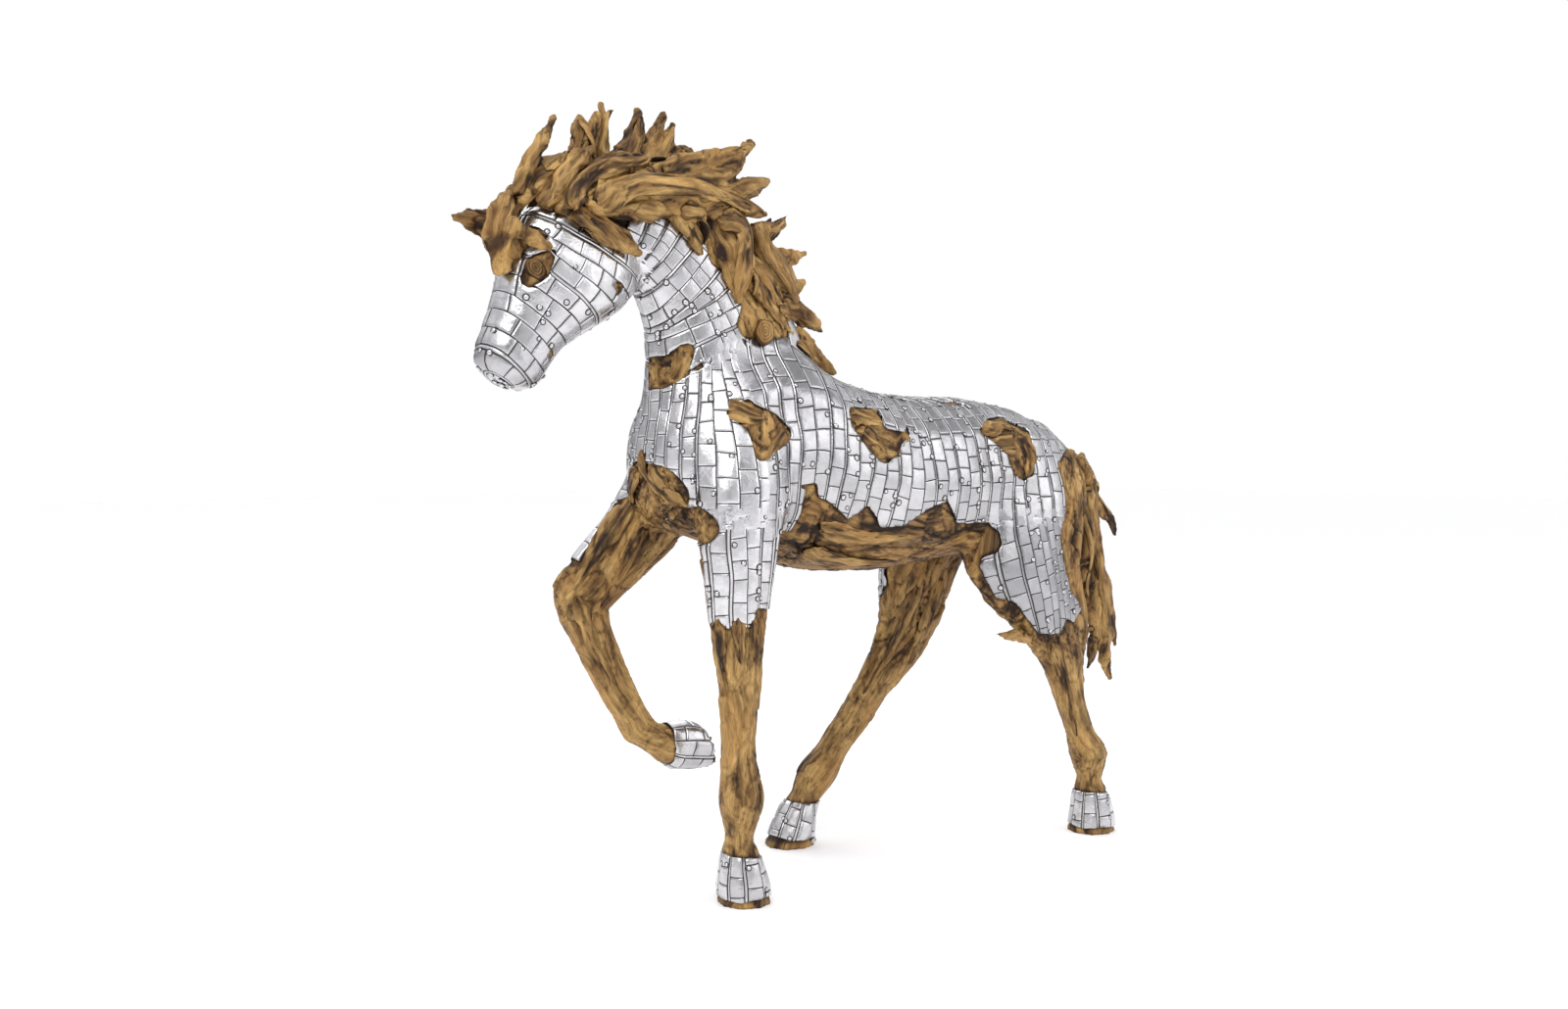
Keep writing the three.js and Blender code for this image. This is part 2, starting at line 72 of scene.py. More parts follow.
# The line through the middle of each part of the horse, in metres, with its radius: x, y, z, r.
BONES = {
    "trunk": [(-0.56, 0, 1.07, 0.16), (-0.41, 0, 1.10, 0.23), (-0.18, 0, 1.08, 0.25), (0.11, 0, 1.01, 0.25),
              (0.44, 0, 1.03, 0.23), (0.70, 0, 1.03, 0.19), (0.88, 0, 1.02, 0.10)],
    "neck": [(-0.30, 0, 1.17, 0.20), (-0.33, 0, 1.28, 0.17), (-0.37, 0, 1.39, 0.15), (-0.44, 0, 1.52, 0.13),
             (-0.56, 0, 1.62, 0.11), (-0.68, 0, 1.66, 0.08)],
    "head": [(-0.74, 0, 1.66, 0.09), (-0.78, 0, 1.55, 0.13), (-0.82, 0, 1.46, 0.12), (-0.90, 0, 1.36, 0.075),
             (-0.95, 0, 1.30, 0.045), (-0.97, 0, 1.25, 0.035)],
    "fore_left": [(-0.34, -0.12, 1.20, 0.10), (-0.41, -0.16, 0.98, 0.11), (-0.43, -0.175, 0.74, 0.07),
                  (-0.435, -0.188, 0.42, 0.045), (-0.43, -0.19, 0.26, 0.052), (-0.435, -0.19, 0.16, 0.04),
                  (-0.425, -0.19, 0.0, 0.065)],
    "fore_right": [(-0.34, 0.12, 1.18, 0.10), (-0.46, 0.15, 0.96, 0.10), (-0.58, 0.175, 0.80, 0.07),
                   (-0.65, 0.19, 0.70, 0.06), (-0.575, 0.19, 0.52, 0.05), (-0.49, 0.19, 0.39, 0.045),
                   (-0.41, 0.19, 0.34, 0.045), (-0.28, 0.19, 0.32, 0.065)],
    "hind_left": [(0.62, -0.13, 1.08, 0.16), (0.58, -0.15, 0.87, 0.19), (0.62, -0.18, 0.66, 0.12),
                  (0.70, -0.194, 0.49, 0.06), (0.735, -0.199, 0.35, 0.045), (0.80, -0.20, 0.23, 0.05),
                  (0.805, -0.20, 0.15, 0.04), (0.818, -0.20, 0.0, 0.065)],
    "hind_right": [(0.60, 0.12, 1.07, 0.15), (0.52, 0.13, 0.88, 0.17), (0.45, 0.17, 0.62, 0.10),
                   (0.37, 0.19, 0.48, 0.06), (0.25, 0.198, 0.32, 0.045), (0.12, 0.20, 0.18, 0.05),
                   (0.08, 0.20, 0.13, 0.04), (0.025, 0.20, 0.0, 0.065)],
}
# Relief of the body under wood and metal: x, y of both sides, z, how far round it reaches, how high.
MUSCLES = [
    (-0.76, 0.10, 1.47, 0.075, 0.010),  # jaw
    (-0.88, 0.09, 1.545, 0.035, 0.009),  # brow
    (-0.925, 0.07, 1.43, 0.035, -0.006),  # hollow below the eye
    (-0.985, 0.05, 1.33, 0.024, 0.006),  # rim of the nostril
    (-1.015, 0.045, 1.305, 0.012, -0.009),  # nostril
    (-0.975, 0.03, 1.245, 0.035, 0.006),  # lip
    (-0.40, 0.21, 1.08, 0.10, 0.010),  # shoulder
    (-0.30, 0.21, 1.20, 0.05, -0.008),  # hollow behind the shoulder blade
    (0.00, 0.24, 1.06, 0.20, 0.006),  # ribs
    (0.40, 0.23, 1.08, 0.06, -0.008),  # flank
    (0.60, 0.22, 1.00, 0.13, 0.010),  # haunch
    (-0.43, 0.19, 0.245, 0.055, 0.014),  # fetlock of the standing foreleg
    (0.80, 0.20, 0.235, 0.055, 0.012),  # fetlock of the left hind leg
    (0.12, 0.20, 0.185, 0.055, 0.012),  # fetlock of the right hind leg
    (-0.65, 0.20, 0.72, 0.06, 0.007),  # knee of the raised foreleg
]


class HorseSizes(bpy.types.PropertyGroup):
    """Sizes that a user would change."""

    tile_width: FloatProperty(name="Tile width", description="Width of a metal tile", default=0.044,
                              unit="LENGTH")
    tile_height: FloatProperty(name="Tile height", description="Length of a metal tile", default=0.051,
                               unit="LENGTH")
    tile_lift: FloatProperty(name="Tile lift", description="How far a tile stands off the wood",
                             default=0.0028, unit="LENGTH")
    nail_radius: FloatProperty(name="Nail radius", description="Radius of a nail head", default=0.0058,
                               unit="LENGTH")
    wood_voxel: FloatProperty(name="Wood detail", description="Mesh size of the body's wood", default=0.0062,
                              unit="LENGTH")
    lock_voxel: FloatProperty(name="Lock detail", description="Mesh size of the mane and tail",
                              default=0.0042, unit="LENGTH")
    relief: FloatProperty(name="Wood relief", description="Depth of the worn grain", default=0.0065,
                          unit="LENGTH")
    seed: IntProperty(name="Seed", description="Another choice of tiles and roots", default=7, min=0)


class HorseColours(bpy.types.PropertyGroup):
    """Colours that a user would change."""

    wood_light: FloatVectorProperty(name="Light wood", description="Golden root wood", subtype="COLOR",
                                    size=3, default=(0.44, 0.270, 0.094), min=0, max=1)
    wood_mid: FloatVectorProperty(name="Middle wood", description="Brown root wood", subtype="COLOR", size=3,
                                  default=(0.190, 0.100, 0.031), min=0, max=1)
    wood_dark: FloatVectorProperty(name="Dark wood", description="Streaks, knots and hollows",
                                   subtype="COLOR", size=3, default=(0.024, 0.011, 0.005), min=0, max=1)
    metal: FloatVectorProperty(name="Metal", description="Bright sheet metal", subtype="COLOR", size=3,
                               default=(0.72, 0.711, 0.722), min=0, max=1)
    seam: FloatVectorProperty(name="Seam", description="Dark gap between two tiles", subtype="COLOR", size=3,
                              default=(0.045, 0.04, 0.036), min=0, max=1)


# Noise

GRADIENTS = np.random.default_rng(11).normal(size=(256, 3))
GRADIENTS /= np.linalg.norm(GRADIENTS, axis=1)[:, None]
SHUFFLE = np.random.default_rng(12).permutation(256)
NOISE_GAIN = 1.6  # brings the noise's peaks to about 1
CELL_SCATTER = 0.38  # how far a cell's middle strays from the middle of its cube
FAR = 9.0  # farther than any cell


def hashed(cells, seed):
    """A number from 0 to 255 for each whole-number cell."""
    x, y, z = (cells.astype(np.int64) & 255).T
    return SHUFFLE[(SHUFFLE[(SHUFFLE[(x + seed) & 255] + y) & 255] + z) & 255]


def noise(points, seed=0):
    """Smooth noise from about -1 to 1, one wave to a unit."""
    cell = np.floor(points)
    part = points - cell
    ease = part**3 * (part * (part * 6 - 15) + 10)
    total = np.zeros(len(points))
    for corner in product((0, 1), repeat=3):
        corner = np.array(corner)
        gradient = GRADIENTS[hashed(cell + corner, seed)]
        weight = np.where(corner, ease, 1 - ease).prod(axis=1)
        total += weight * (gradient * (part - corner)).sum(axis=1)
    return total * NOISE_GAIN


def layered(points, layers, seed=0):
    """Several noises, each twice as fine and half as strong."""
    return sum(noise(points * 2**k, seed + k) / 2**k for k in range(layers))


def warped(place, scale, gap, seed):
    """Three noises side by side, which bend what is looked up with them."""
    return np.stack([layered(place * scale + k * gap, 2, seed + k) for k in range(3)], axis=1)


def peak(values, width):
    """1 where the values are 0, falling smoothly to nothing within about twice the width."""
    return np.exp(-((values / width) ** 2))


def ramp(values, low, high):
    """Rises smoothly from 0 at low to 1 at high."""
    t = np.clip((values - low) / (high - low), 0, 1)
    return t * t * (3 - 2 * t)


def cells(points, seed=0):
    """Nearest scattered cell: its number from 0 to 1, and how far inside its edge each point is."""
    base = np.floor(points)
    nearest = np.full(len(points), FAR)
    second = np.full(len(points), FAR)
    number = np.zeros(len(points))
    for corner in product((-1, 0, 1), repeat=3):
        cell = base + np.array(corner)
        h = hashed(cell, seed)
        middle = cell + 0.5 + CELL_SCATTER * GRADIENTS[h]
        d = np.linalg.norm(points - middle, axis=1)
        closer = d < nearest
        second = np.where(closer, nearest, np.minimum(second, d))
        number = np.where(closer, h / 255.0, number)
        nearest = np.where(closer, d, nearest)
    return number, second - nearest


# Meshes

def vertices_of(mesh):
    """A mesh's points as an array."""
    flat = np.empty(len(mesh.vertices) * 3, np.float32)
    mesh.vertices.foreach_get("co", flat)
    return flat.reshape(-1, 3).astype(float)


def normals_of(mesh):
    """A mesh's point normals as an array."""
    flat = np.empty(len(mesh.vertices) * 3, np.float32)
    mesh.vertices.foreach_get("normal", flat)
    return flat.reshape(-1, 3).astype(float)


def set_vertices(mesh, points):
    """Moves a mesh's points."""
    mesh.vertices.foreach_set("co", points.astype(np.float32).ravel())
    mesh.update()


def set_layer(mesh, name, values):
    """Stores one number or one vector for each point, for a material to read."""
    values = np.asarray(values, np.float32)
    kind, key = ("FLOAT", "value") if values.ndim == 1 else ("FLOAT_VECTOR", "vector")
    layer = mesh.attributes.get(name) or mesh.attributes.new(name, kind, "POINT")
    layer.data.foreach_set(key, values.ravel())


def inside_box(points):
    """Keeps points inside the solid model's box."""
    return np.clip(points, CAD_BOX[0], CAD_BOX[1])


def new_object(name, data):
    """An object for a mesh, a lamp or a camera, linked into the scene."""
    made = bpy.data.objects.new(name, data)
    bpy.context.scene.collection.objects.link(made)
    return made


def ring_faces(start, rings, sides):
    """Faces that join each ring of points to the next one."""
    faces = []
    for ring, k in product(range(rings - 1), range(sides)):
        a, b = start + ring * sides + k, start + ring * sides + (k + 1) % sides
        faces.append((a, a + sides, b + sides, b))
    return faces


def with_modifiers(piece):
    """Gives a piece the mesh that its modifiers make."""
    fine = bpy.data.meshes.new_from_object(piece.evaluated_get(bpy.context.evaluated_depsgraph_get()))
    piece.modifiers.clear()
    piece.data = fine


def remeshed(node, voxel, name):
    """A new object: a CAD node's solid with an even fine mesh."""
    piece = new_object(name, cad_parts[node].data.copy())
    modifier = piece.modifiers.new("even", "REMESH")
    modifier.mode = "VOXEL"
    modifier.voxel_size = voxel
    with_modifiers(piece)
    piece.data.name = name
    piece.data.materials.clear()
    return piece


def smoothed(mesh, turns):
    """Relaxes a mesh: turns is how many passes, one number or one for each point."""
    edges = np.empty(len(mesh.edges) * 2, np.int32)
    mesh.edges.foreach_get("vertices", edges)
    a, b = edges.reshape(-1, 2).T
    points = vertices_of(mesh)
    size = len(points)
    count = np.bincount(a, minlength=size) + np.bincount(b, minlength=size)
    turns = np.broadcast_to(turns, size)
    for turn in range(int(turns.max())):
        total = np.stack([np.bincount(a, points[b, k], size) + np.bincount(b, points[a, k], size)
                          for k in range(3)], axis=1)
        share = np.clip(turns - turn, 0, 1)[:, None] * 0.5
        points = points + share * (total / count[:, None] - points)
    set_vertices(mesh, points)


def thinned(piece, share):
    """Keeps this share of a piece's faces, most of them where its surface is rough."""
    piece.modifiers.new("thin", "DECIMATE").ratio = share
    with_modifiers(piece)


def finished(piece, material, slot, *nodes):
    """Shades a piece, gives it its material and puts it in the place of its CAD nodes."""
    piece.data.materials.clear()
    piece.data.materials.append(material)
    piece.data.shade_smooth()
    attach(piece, ROOT)
    if nodes:
        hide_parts(*nodes)
    return piece


BONE_GAPS = (3.1, 1.7)  # keep the grain of one bone apart from the next one's


def bone_place(points):
    """For each point: its place measured along and off the nearest bone, and the bone's radius there."""
    best = np.full(len(points), np.inf)
    place = np.zeros((len(points), 3))
    radius = np.zeros(len(points))
    for number, bone in enumerate(BONES.values()):
        start = 0.0
        for low, high in zip(bone, bone[1:]):
            a, b = np.array(low[:3]), np.array(high[:3])
            length = np.linalg.norm(b - a)
            along = (b - a) / length
            s = np.clip((points - a) @ along, 0, length)
            off = points - a - s[:, None] * along
            r = low[3] + (high[3] - low[3]) * s / length
            d = np.linalg.norm(off, axis=1) / r
            side = np.cross(along, (0, 1, 0))
            here = d < best
            best = np.where(here, d, best)
            radius = np.where(here, r, radius)
            length_gap, side_gap = (number * gap for gap in BONE_GAPS)
            spot = np.stack([start + s + length_gap, off @ side + side_gap, off[:, 1]], axis=1)
            place = np.where(here[:, None], spot, place)
            start += length
    return place, radius


# The wooden body and its smooth form, on which wood and metal both lie

ROUNDING = 0.055  # how many passes smooth the form, for each square of radius over mesh size
ROUNDING_TURNS = (4, 90)
FORM_VOXEL = 0.010  # mesh size of the form where only its surface is looked up


def sculpted(points, normals):
    """The body's muscles, jaw, brow, nostrils and joints."""
    raised = np.zeros(len(points))
    for x, y, z, reach, height in MUSCLES:
        for side in (-1, 1):
            raised += height * peak(np.linalg.norm(points - (x, side * y, z), axis=1), reach)
    return points + normals * raised[:, None]


def body_form(voxel):
    """The body's solid with its facets rounded off, before any grain."""
    piece = remeshed("wood_body", voxel, "body_form")
    points = vertices_of(piece.data)
    radius = bone_place(points)[1]
    turns = np.clip((radius / voxel) ** 2 * ROUNDING, *ROUNDING_TURNS)
    smoothed(piece.data, np.where(points[:, 2] < voxel, 0, turns))  # the soles stay flat
    points = sculpted(vertices_of(piece.data), normals_of(piece.data))
    points[:, 2] = np.maximum(points[:, 2], 0.0)
    set_vertices(piece.data, points)
    return piece


def tree_of(piece):
    """A search tree over a piece's faces."""
    mesh = piece.data
    return BVHTree.FromPolygons([v.co for v in mesh.vertices], [p.vertices for p in mesh.polygons])


def form_tree():
    """A search tree over the body's smooth form."""
    form = body_form(FORM_VOXEL)
    tree = tree_of(form)
    bpy.data.objects.remove(form)
    return tree


OPENINGS = [  # middle and half sizes of small openings: two on the back, one in front of the left foreleg
    (0.153, -0.10, 1.225, 0.046, 0.032, 0.05),
    (0.341, -0.10, 1.23, 0.048, 0.028, 0.05),
    (-0.545, -0.130, 0.915, 0.078, 0.095, 0.052),
]
SKIN_SLACK = 0.5  # a point this many times its depth to one side of a skin still counts as under it
SKIN_DEPTH = 0.014  # the depth up to which that holds
SKIN_REACH = SKIN_DEPTH * 2.5  # a skin deeper than this covers another part of the body
NO_SKIN = 1.0  # the distance where there is no skin at all
METAL_NODES = ["head_plates", "neck_plates", "body_plates"]


class Cladding:
    """Where metal skins of the frame cover the body."""

    def __init__(self, own, others=()):
        self.own = [tree_of(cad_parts[n]) for n in own]
        self.others = [tree_of(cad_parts[n]) for n in others]

    def nearest(self, trees, point, normal):
        """How far a point lies beyond the edge of the nearest skin, the way back, and the skin's distance."""
        best, way, near = NO_SKIN, Vector((0, 0, 0)), NO_SKIN
        for tree in trees:
            found = tree.find_nearest(point)[0]
            if found is None:
                continue
            step = found - point
            depth = step.dot(normal)
            near = min(near, step.length)
            step -= normal * depth
            away = max(0.0, step.length - SKIN_SLACK * min(abs(depth), SKIN_DEPTH))
            if abs(depth) > SKIN_REACH:
                away = max(away, abs(depth))
            if away < best:
                best, way = away, step
        return best, way, near

    def outside(self, point, normal):
        """How far a point lies beyond all the skins, the way back, and how far into another skin's share."""
        way = Vector((0, 0, 0))
        for *middle, long, wide, deep in OPENINGS:
            step = point - Vector(middle)
            reach = Vector((step.x / long, step.y / wide, step.z / deep)).length
            back = step * (1 / max(reach, 0.05) - 1)
            if reach < 1 and back.length > way.length:
                way = back
        if way.length:
            return way.length, way, -NO_SKIN
        away, way, near = self.nearest(self.own, point, normal)
        if not self.others:
            return away, way, -NO_SKIN
        there, back, other = self.nearest(self.others, point, normal)
        if there < away:
            away, way = there, back
        return away, way, (near - other) / 2


BODY_WAVES = {  # how many waves of relief there are in a metre, along the grain and across it
    "pieces": (5.0, 15, 15),
    "flutes": (7.5, 42, 42),
    "creases": (9, 30, 30),
    "lumps": (10, 24, 24),
    "swell": (5, 11, 11),
}
SEAM_WIDTH = 0.055  # of a fitted root piece's width
CREASE_WIDTH = 0.07  # of a noise's height


def worn_grain(place, radius, seed, depth):
    """Height of weathered root wood, and its colour layers with painted shade in the hollows, from places
    measured along the grain.
    """
    rough = np.clip((radius - 0.03) / 0.06, 0.45, 1)  # thin limbs are smoother
    warp = warped(place, 5, 9.1, seed)
    piece, inside = cells(place * BODY_WAVES["pieces"] + warp * 0.7, seed)
    open_seam = np.clip(0.65 + 1.3 * noise(place * 7 + 4, seed + 3), 0.1, 1) * np.clip(rough * 1.5, 0, 1)
    seam = peak(inside, SEAM_WIDTH) * open_seam
    own = place + piece[:, None] * 3.7
    flutes = np.abs(noise(own * BODY_WAVES["flutes"] + warp * 2.2, seed + 9)) * 2
    creases = peak(noise(own * BODY_WAVES["creases"] + warp * 2.5, seed + 12), CREASE_WIDTH)
    lumps = layered(own * BODY_WAVES["lumps"] + warp, 2, seed + 14)
    swell = noise(place * BODY_WAVES["swell"] + warp, seed + 17)
    # Each kind of relief has its own share of the depth.
    height = depth * (0.55 * lumps + 0.5 * (0.4 - np.minimum(flutes, 1)) + 0.8 * (piece - 0.5) + 0.45 * swell
                      - 0.5 * creases - 1.15 * seam) * rough
    deep_flutes = np.clip(flutes - 0.75, 0, 1)
    # Painted shade: darker in the seams between pieces, the creases, the deep flutes and the low lumps.
    hollow_shade = np.clip(seam + 0.55 * creases + 0.7 * deep_flutes + np.clip(-lumps - 0.35, 0, 1), 0, 1)
    return height, piece, hollow_shade * np.clip(rough * 1.3, 0.35, 1)


BODY_SHARE = 0.6  # of the body's faces are kept
UNDER_METAL = 0.0045  # how far the wood is let in under the metal
BARE = (0.002, 0.010)  # how far beyond the metal's edge bare wood starts to rise, and over what distance
RIM_WIDTH = 0.007  # of the line of painted shade where metal meets wood
SOLE_RISE = 0.02  # over this height above the flat soles the relief rises to its full depth
BELLY_SHADE, PALE_LEGS = 0.85, 0.35  # how much painted shade darkens the thick low belly, and how much paler the thin legs are


class HORSE_OT_wood_body(bpy.types.Operator):
    """Carves the body's root wood"""

    bl_idname = "horse.wood_body"
    bl_label = "Wooden body"

    def execute(self, context):
        sizes = context.scene.horse_sizes
        piece = body_form(sizes.wood_voxel)
        piece.name = "root_wood_body"
        points, normals = vertices_of(piece.data), normals_of(piece.data)
        place, radius = bone_place(points)
        height, tint, hollow_shade = worn_grain(place, radius, sizes.seed, sizes.relief)
        metal = Cladding(METAL_NODES + list(HOOF_LINES))
        away = np.array([metal.outside(Vector(p), Vector(n))[0] for p, n in zip(points, normals)])
        bare = np.clip((away - BARE[0]) / BARE[1], 0, 1)
        height = height * bare - UNDER_METAL * (1 - bare)
        height *= np.clip(points[:, 2] / SOLE_RISE, 0, 1)
        points += normals * height[:, None]
        points[:, 2] = np.maximum(points[:, 2], 0.0)
        set_vertices(piece.data, points)
        thick, low = np.clip((radius - 0.12) / 0.1, 0, 1), np.clip((1.0 - points[:, 2]) / 0.1, 0, 1)
        thin = np.clip((0.064 - radius) / 0.016, 0, 1)
        set_layer(piece.data, "grain", place)
        # tint: each piece's own tone, painted shade under the thick low belly, and paler thin legs.
        set_layer(piece.data, "tint", tint * 0.8 + 0.1 - BELLY_SHADE * (thick * low) + PALE_LEGS * thin)
        # Painted shade in the hollows, and in a line along the metal's edge.
        set_layer(piece.data, "hollow_shade", np.clip(hollow_shade + 0.9 * peak(away, RIM_WIDTH), 0, 1))
        thinned(piece, BODY_SHARE)
        set_vertices(piece.data, inside_box(vertices_of(piece.data)))
        finished(piece, wood_material("Body wood", context), "root_wood_body", "wood_body")
        return {"FINISHED"}


# Mane, ears, forelock, tail and twig

def long_ways(points):
    """The points' middle, and the ways in which they spread, the longest first."""
    middle = points.mean(axis=0)
    return middle, np.linalg.svd((points - middle).T @ (points - middle))[0]


LOCK_WAVES = {  # waves of relief in a metre, along a lock and across it
    "flutes": (4.5, 30, 30),
    "splits": (4, 24, 24),
    "lumps": (8, 18, 18),
    "grain": (16, 95, 95),
    "ends": (10, 26, 26),
}
LOCK_SMOOTHING = 4
LOCK_TWIST = 5.0  # radians in a metre
LOCK_SWELL = 0.004  # makes up for what the smoothing takes off
SPLIT_WIDTH = 0.045  # of a noise's height
RAGGED_END = 0.011
FIRST_TAIL_NUMBER = 40  # gives the tail other noises than the mane


def weathered_lock(node, number, sizes):
    """One lock of root wood: its solid, worn into flutes, splits and lumps along its length."""
    piece = remeshed(node, sizes.lock_voxel, "root_" + node)
    smoothed(piece.data, LOCK_SMOOTHING)
    points, normals = vertices_of(piece.data), normals_of(piece.data)
    middle, ways = long_ways(points)
    place = (points - middle) @ ways
    seed = sizes.seed + number * 3
    reach = np.abs(place[:, 0]).max()
    warp = warped(place, 8, 5.3, seed)
    turn = LOCK_TWIST * place[:, 0] + 0.8 * warp[:, 0]
    across = np.stack([np.cos(turn) * place[:, 1] + np.sin(turn) * place[:, 2],
                       np.cos(turn) * place[:, 2] - np.sin(turn) * place[:, 1]], axis=1)
    wound = np.column_stack([place[:, 0], across])
    flutes = np.minimum(np.abs(noise(wound * LOCK_WAVES["flutes"] + warp * 0.7, seed + 4)) * 2.2, 1)
    splits = peak(noise(wound * LOCK_WAVES["splits"] + warp * 1.2, seed + 7), SPLIT_WIDTH)
    splits *= np.clip(0.3 + 1.6 * noise(place * 9, seed + 8), 0, 1)
    lumps = layered(place * LOCK_WAVES["lumps"] + warp * 0.5, 2, seed + 9)
    grain = layered(wound * LOCK_WAVES["grain"] + warp * 2, 2, seed + 12)
    rise = 0.6 * lumps + 1.0 * (0.45 - flutes) - 0.85 * splits + 0.13 * grain
    points += normals * (LOCK_SWELL + sizes.relief * 1.25 * rise)[:, None]
    near_ends = np.clip(np.abs(place[:, 0]) / reach * 1.4 - 0.5, 0, 1)
    ragged = near_ends * noise(place * LOCK_WAVES["ends"], seed + 15)
    lengthwise = long_ways(points)[1][:, 0]
    set_vertices(piece.data, inside_box(points + lengthwise * (RAGGED_END * ragged)[:, None]))
    set_layer(piece.data, "grain", wound + number * 2.3)
    set_layer(piece.data, "tint", 0.15 + 0.5 * ((number * 0.37) % 1.0) + 0.3 * lumps)
    # Painted shade in the splits and the low places.
    set_layer(piece.data, "hollow_shade", np.clip(0.8 * splits + 0.9 * np.clip(-0.12 - rise, 0, 1), 0, 1))
    return piece


def lock_names(*starts):
    """The frame's nodes whose names start that way."""
    return sorted(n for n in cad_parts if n.startswith(starts))


def carve_locks(context, name, slot, first, *starts):
    """Carves every lock whose node's name starts that way, numbered from first."""
    material = wood_material(name, context)
    for number, node in enumerate(lock_names(*starts), first):
        finished(weathered_lock(node, number, context.scene.horse_sizes), material, slot, node)


class HORSE_OT_mane(bpy.types.Operator):
    """Carves the ears, the forelock and every lock of the mane"""

    bl_idname = "horse.mane"
    bl_label = "Mane and ears"

    def execute(self, context):
        carve_locks(context, "Mane wood", "root_wood_mane", 0, "mane", "ear", "forelock")
        return {"FINISHED"}


class HORSE_OT_tail(bpy.types.Operator):
    """Carves the tail and the twig on the hock"""

    bl_idname = "horse.tail"
    bl_label = "Tail and twig"

    def execute(self, context):
        carve_locks(context, "Tail wood", "root_wood_tail", FIRST_TAIL_NUMBER, "tail", "leg_twig")
        return {"FINISHED"}


# Split blades of root wood that lie over the mane, the tail, the legs and the belly

# Each blade, in millimetres: half its width, whether the other side has one too, and points from root to tip.
MANE_BLADES = (
    (15, True, (-883, -46, 1740), (-834, -38, 1777), (-780, -20, 1808)),
    (19, True, (-783, -62, 1791), (-854, -67, 1720), (-884, -78, 1664)),
    (25, True, (-835, -113, 1645), (-828, -92, 1693), (-772, -96, 1745), (-643, -82, 1778),
     (-570, -60, 1806)),
    (29, True, (-600, -112, 1755), (-453, -101, 1800), (-352, -93, 1842)),
    (18, True, (-521, -123, 1715), (-397, -104, 1722), (-280, -90, 1690)),
    (36, True, (-795, -117, 1668), (-678, -118, 1716), (-484, -120, 1728), (-320, -97, 1689)),
    (19, False, (-674, -90, 1751), (-640, -50, 1800), (-602, 0, 1850), (-589, 8, 1903)),
    (15, False, (-560, -20, 1790), (-508, 5, 1855), (-488, 10, 1896)),
    (16, False, (-720, -30, 1790), (-752, -18, 1846), (-768, -8, 1876)),
    (21, True, (-545, -112, 1670), (-488, -106, 1672), (-468, -100, 1638), (-460, -96, 1598)),
    (16, True, (-258, -40, 1655), (-212, -37, 1664), (-175, -29, 1686)),
    (26, True, (-300, -80, 1660), (-266, -70, 1577), (-180, -67, 1496)),
    (36, True, (-425, -96, 1673), (-358, -105, 1641), (-379, -124, 1552), (-387, -118, 1468)),
    (25, True, (-338, -113, 1540), (-293, -106, 1475), (-231, -103, 1402)),
    (16, False, (-251, -108, 1452), (-170, -75, 1443), (-95, -50, 1418)),
    (15, False, (-195, -80, 1372), (-120, -66, 1338), (-45, -40, 1308)),
)
TAIL_BLADES = (
    (20, False, (850, -100, 1060), (875, -125, 860), (905, -125, 660)),
    (19, False, (890, -115, 1050), (910, -120, 922), (960, -110, 688), (983, -104, 550)),
    (13, False, (866, -125, 1050), (965, -110, 985), (1015, -98, 905)),
)
BODY_BLADES = (
    (28, False, (-540, 119, 965), (-635, 134, 854), (-697, 149, 752)),
    (24, False, (-520, 100, 900), (-560, 115, 815), (-622, 146, 705)),
    (20, False, (-688, 147, 735), (-642, 152, 620), (-572, 155, 505)),
    (18, False, (-660, 235, 700), (-600, 235, 570), (-520, 235, 440)),
    (18, False, (-500, -195, 695), (-493, -195, 620), (-487, -197, 540)),
    (18, False, (-471, -227, 695), (-464, -226, 640), (-458, -225, 585)),
    (16, False, (-429, -237, 695), (-425, -234, 650), (-421, -231, 600)),
    (19, False, (616, -236, 564), (678, -229, 434), (738, -215, 280)),
    (24, False, (401, 93, 704), (368, 140, 561), (261, 165, 399)),
    (20, False, (485, 80, 723), (455, 122, 585), (414, 148, 472)),
    (18, False, (430, 240, 600), (330, 235, 440), (200, 240, 270)),
    (27, True, (-193, -134, 845), (-30, -133, 808), (175, -133, 804)),
    (22, True, (-185, -190, 905), (-37, -198, 872), (151, -212, 874)),
    (23, True, (-587, -30, 1050), (-568, -80, 1000), (-535, -115, 960)),
    (18, False, (-590, 19, 1095), (-583, 3, 1050), (-572, -40, 1003)),
)
PATCH_BLADES = (
    (28, False, (-455, -168, 1205), (-401, -196, 1180), (-338, -205, 1172)),
    (28, False, (-318, -209, 1158), (-369, -221, 1112), (-394, -228, 1070)),
    (23, False, (-100, -210, 1188), (-50, -210, 1178), (20, -208, 1170)),
    (26, False, (-83, -217, 1150), (-27, -224, 1110), (10, -231, 1070)),
    (18, False, (78, -216, 1148), (45, -225, 1110), (15, -230, 1076)),
    (26, False, (378, -204, 1148), (450, -185, 1172), (525, -185, 1155)),
    (28, False, (505, -204, 1136), (532, -216, 1083), (520, -224, 1020)),
    (19, False, (-565, -5, 1318), (-563, -12, 1280), (-566, -14, 1242)),
    (22, False, (-518, -74, 1336), (-530, -73, 1290), (-547, -58, 1250)),
)
RINGS = 40  # along a blade
SIDES = 26  # round it
LINE_TURNS, OUT_TURNS, RISE_TURNS = 14, 60, 10  # smoothing passes over a blade's line, ways out and heights
MOST_RISE = 0.03  # how far the ground may move a blade
LEAST = 0.0012  # half the width and height of a blade's tip
BLADE_FLUTE, BLADE_SPLIT = 0.0042, 0.003  # how deep they are
BLADE_RAGGED = 0.012  # how far the split root of a blade is ragged



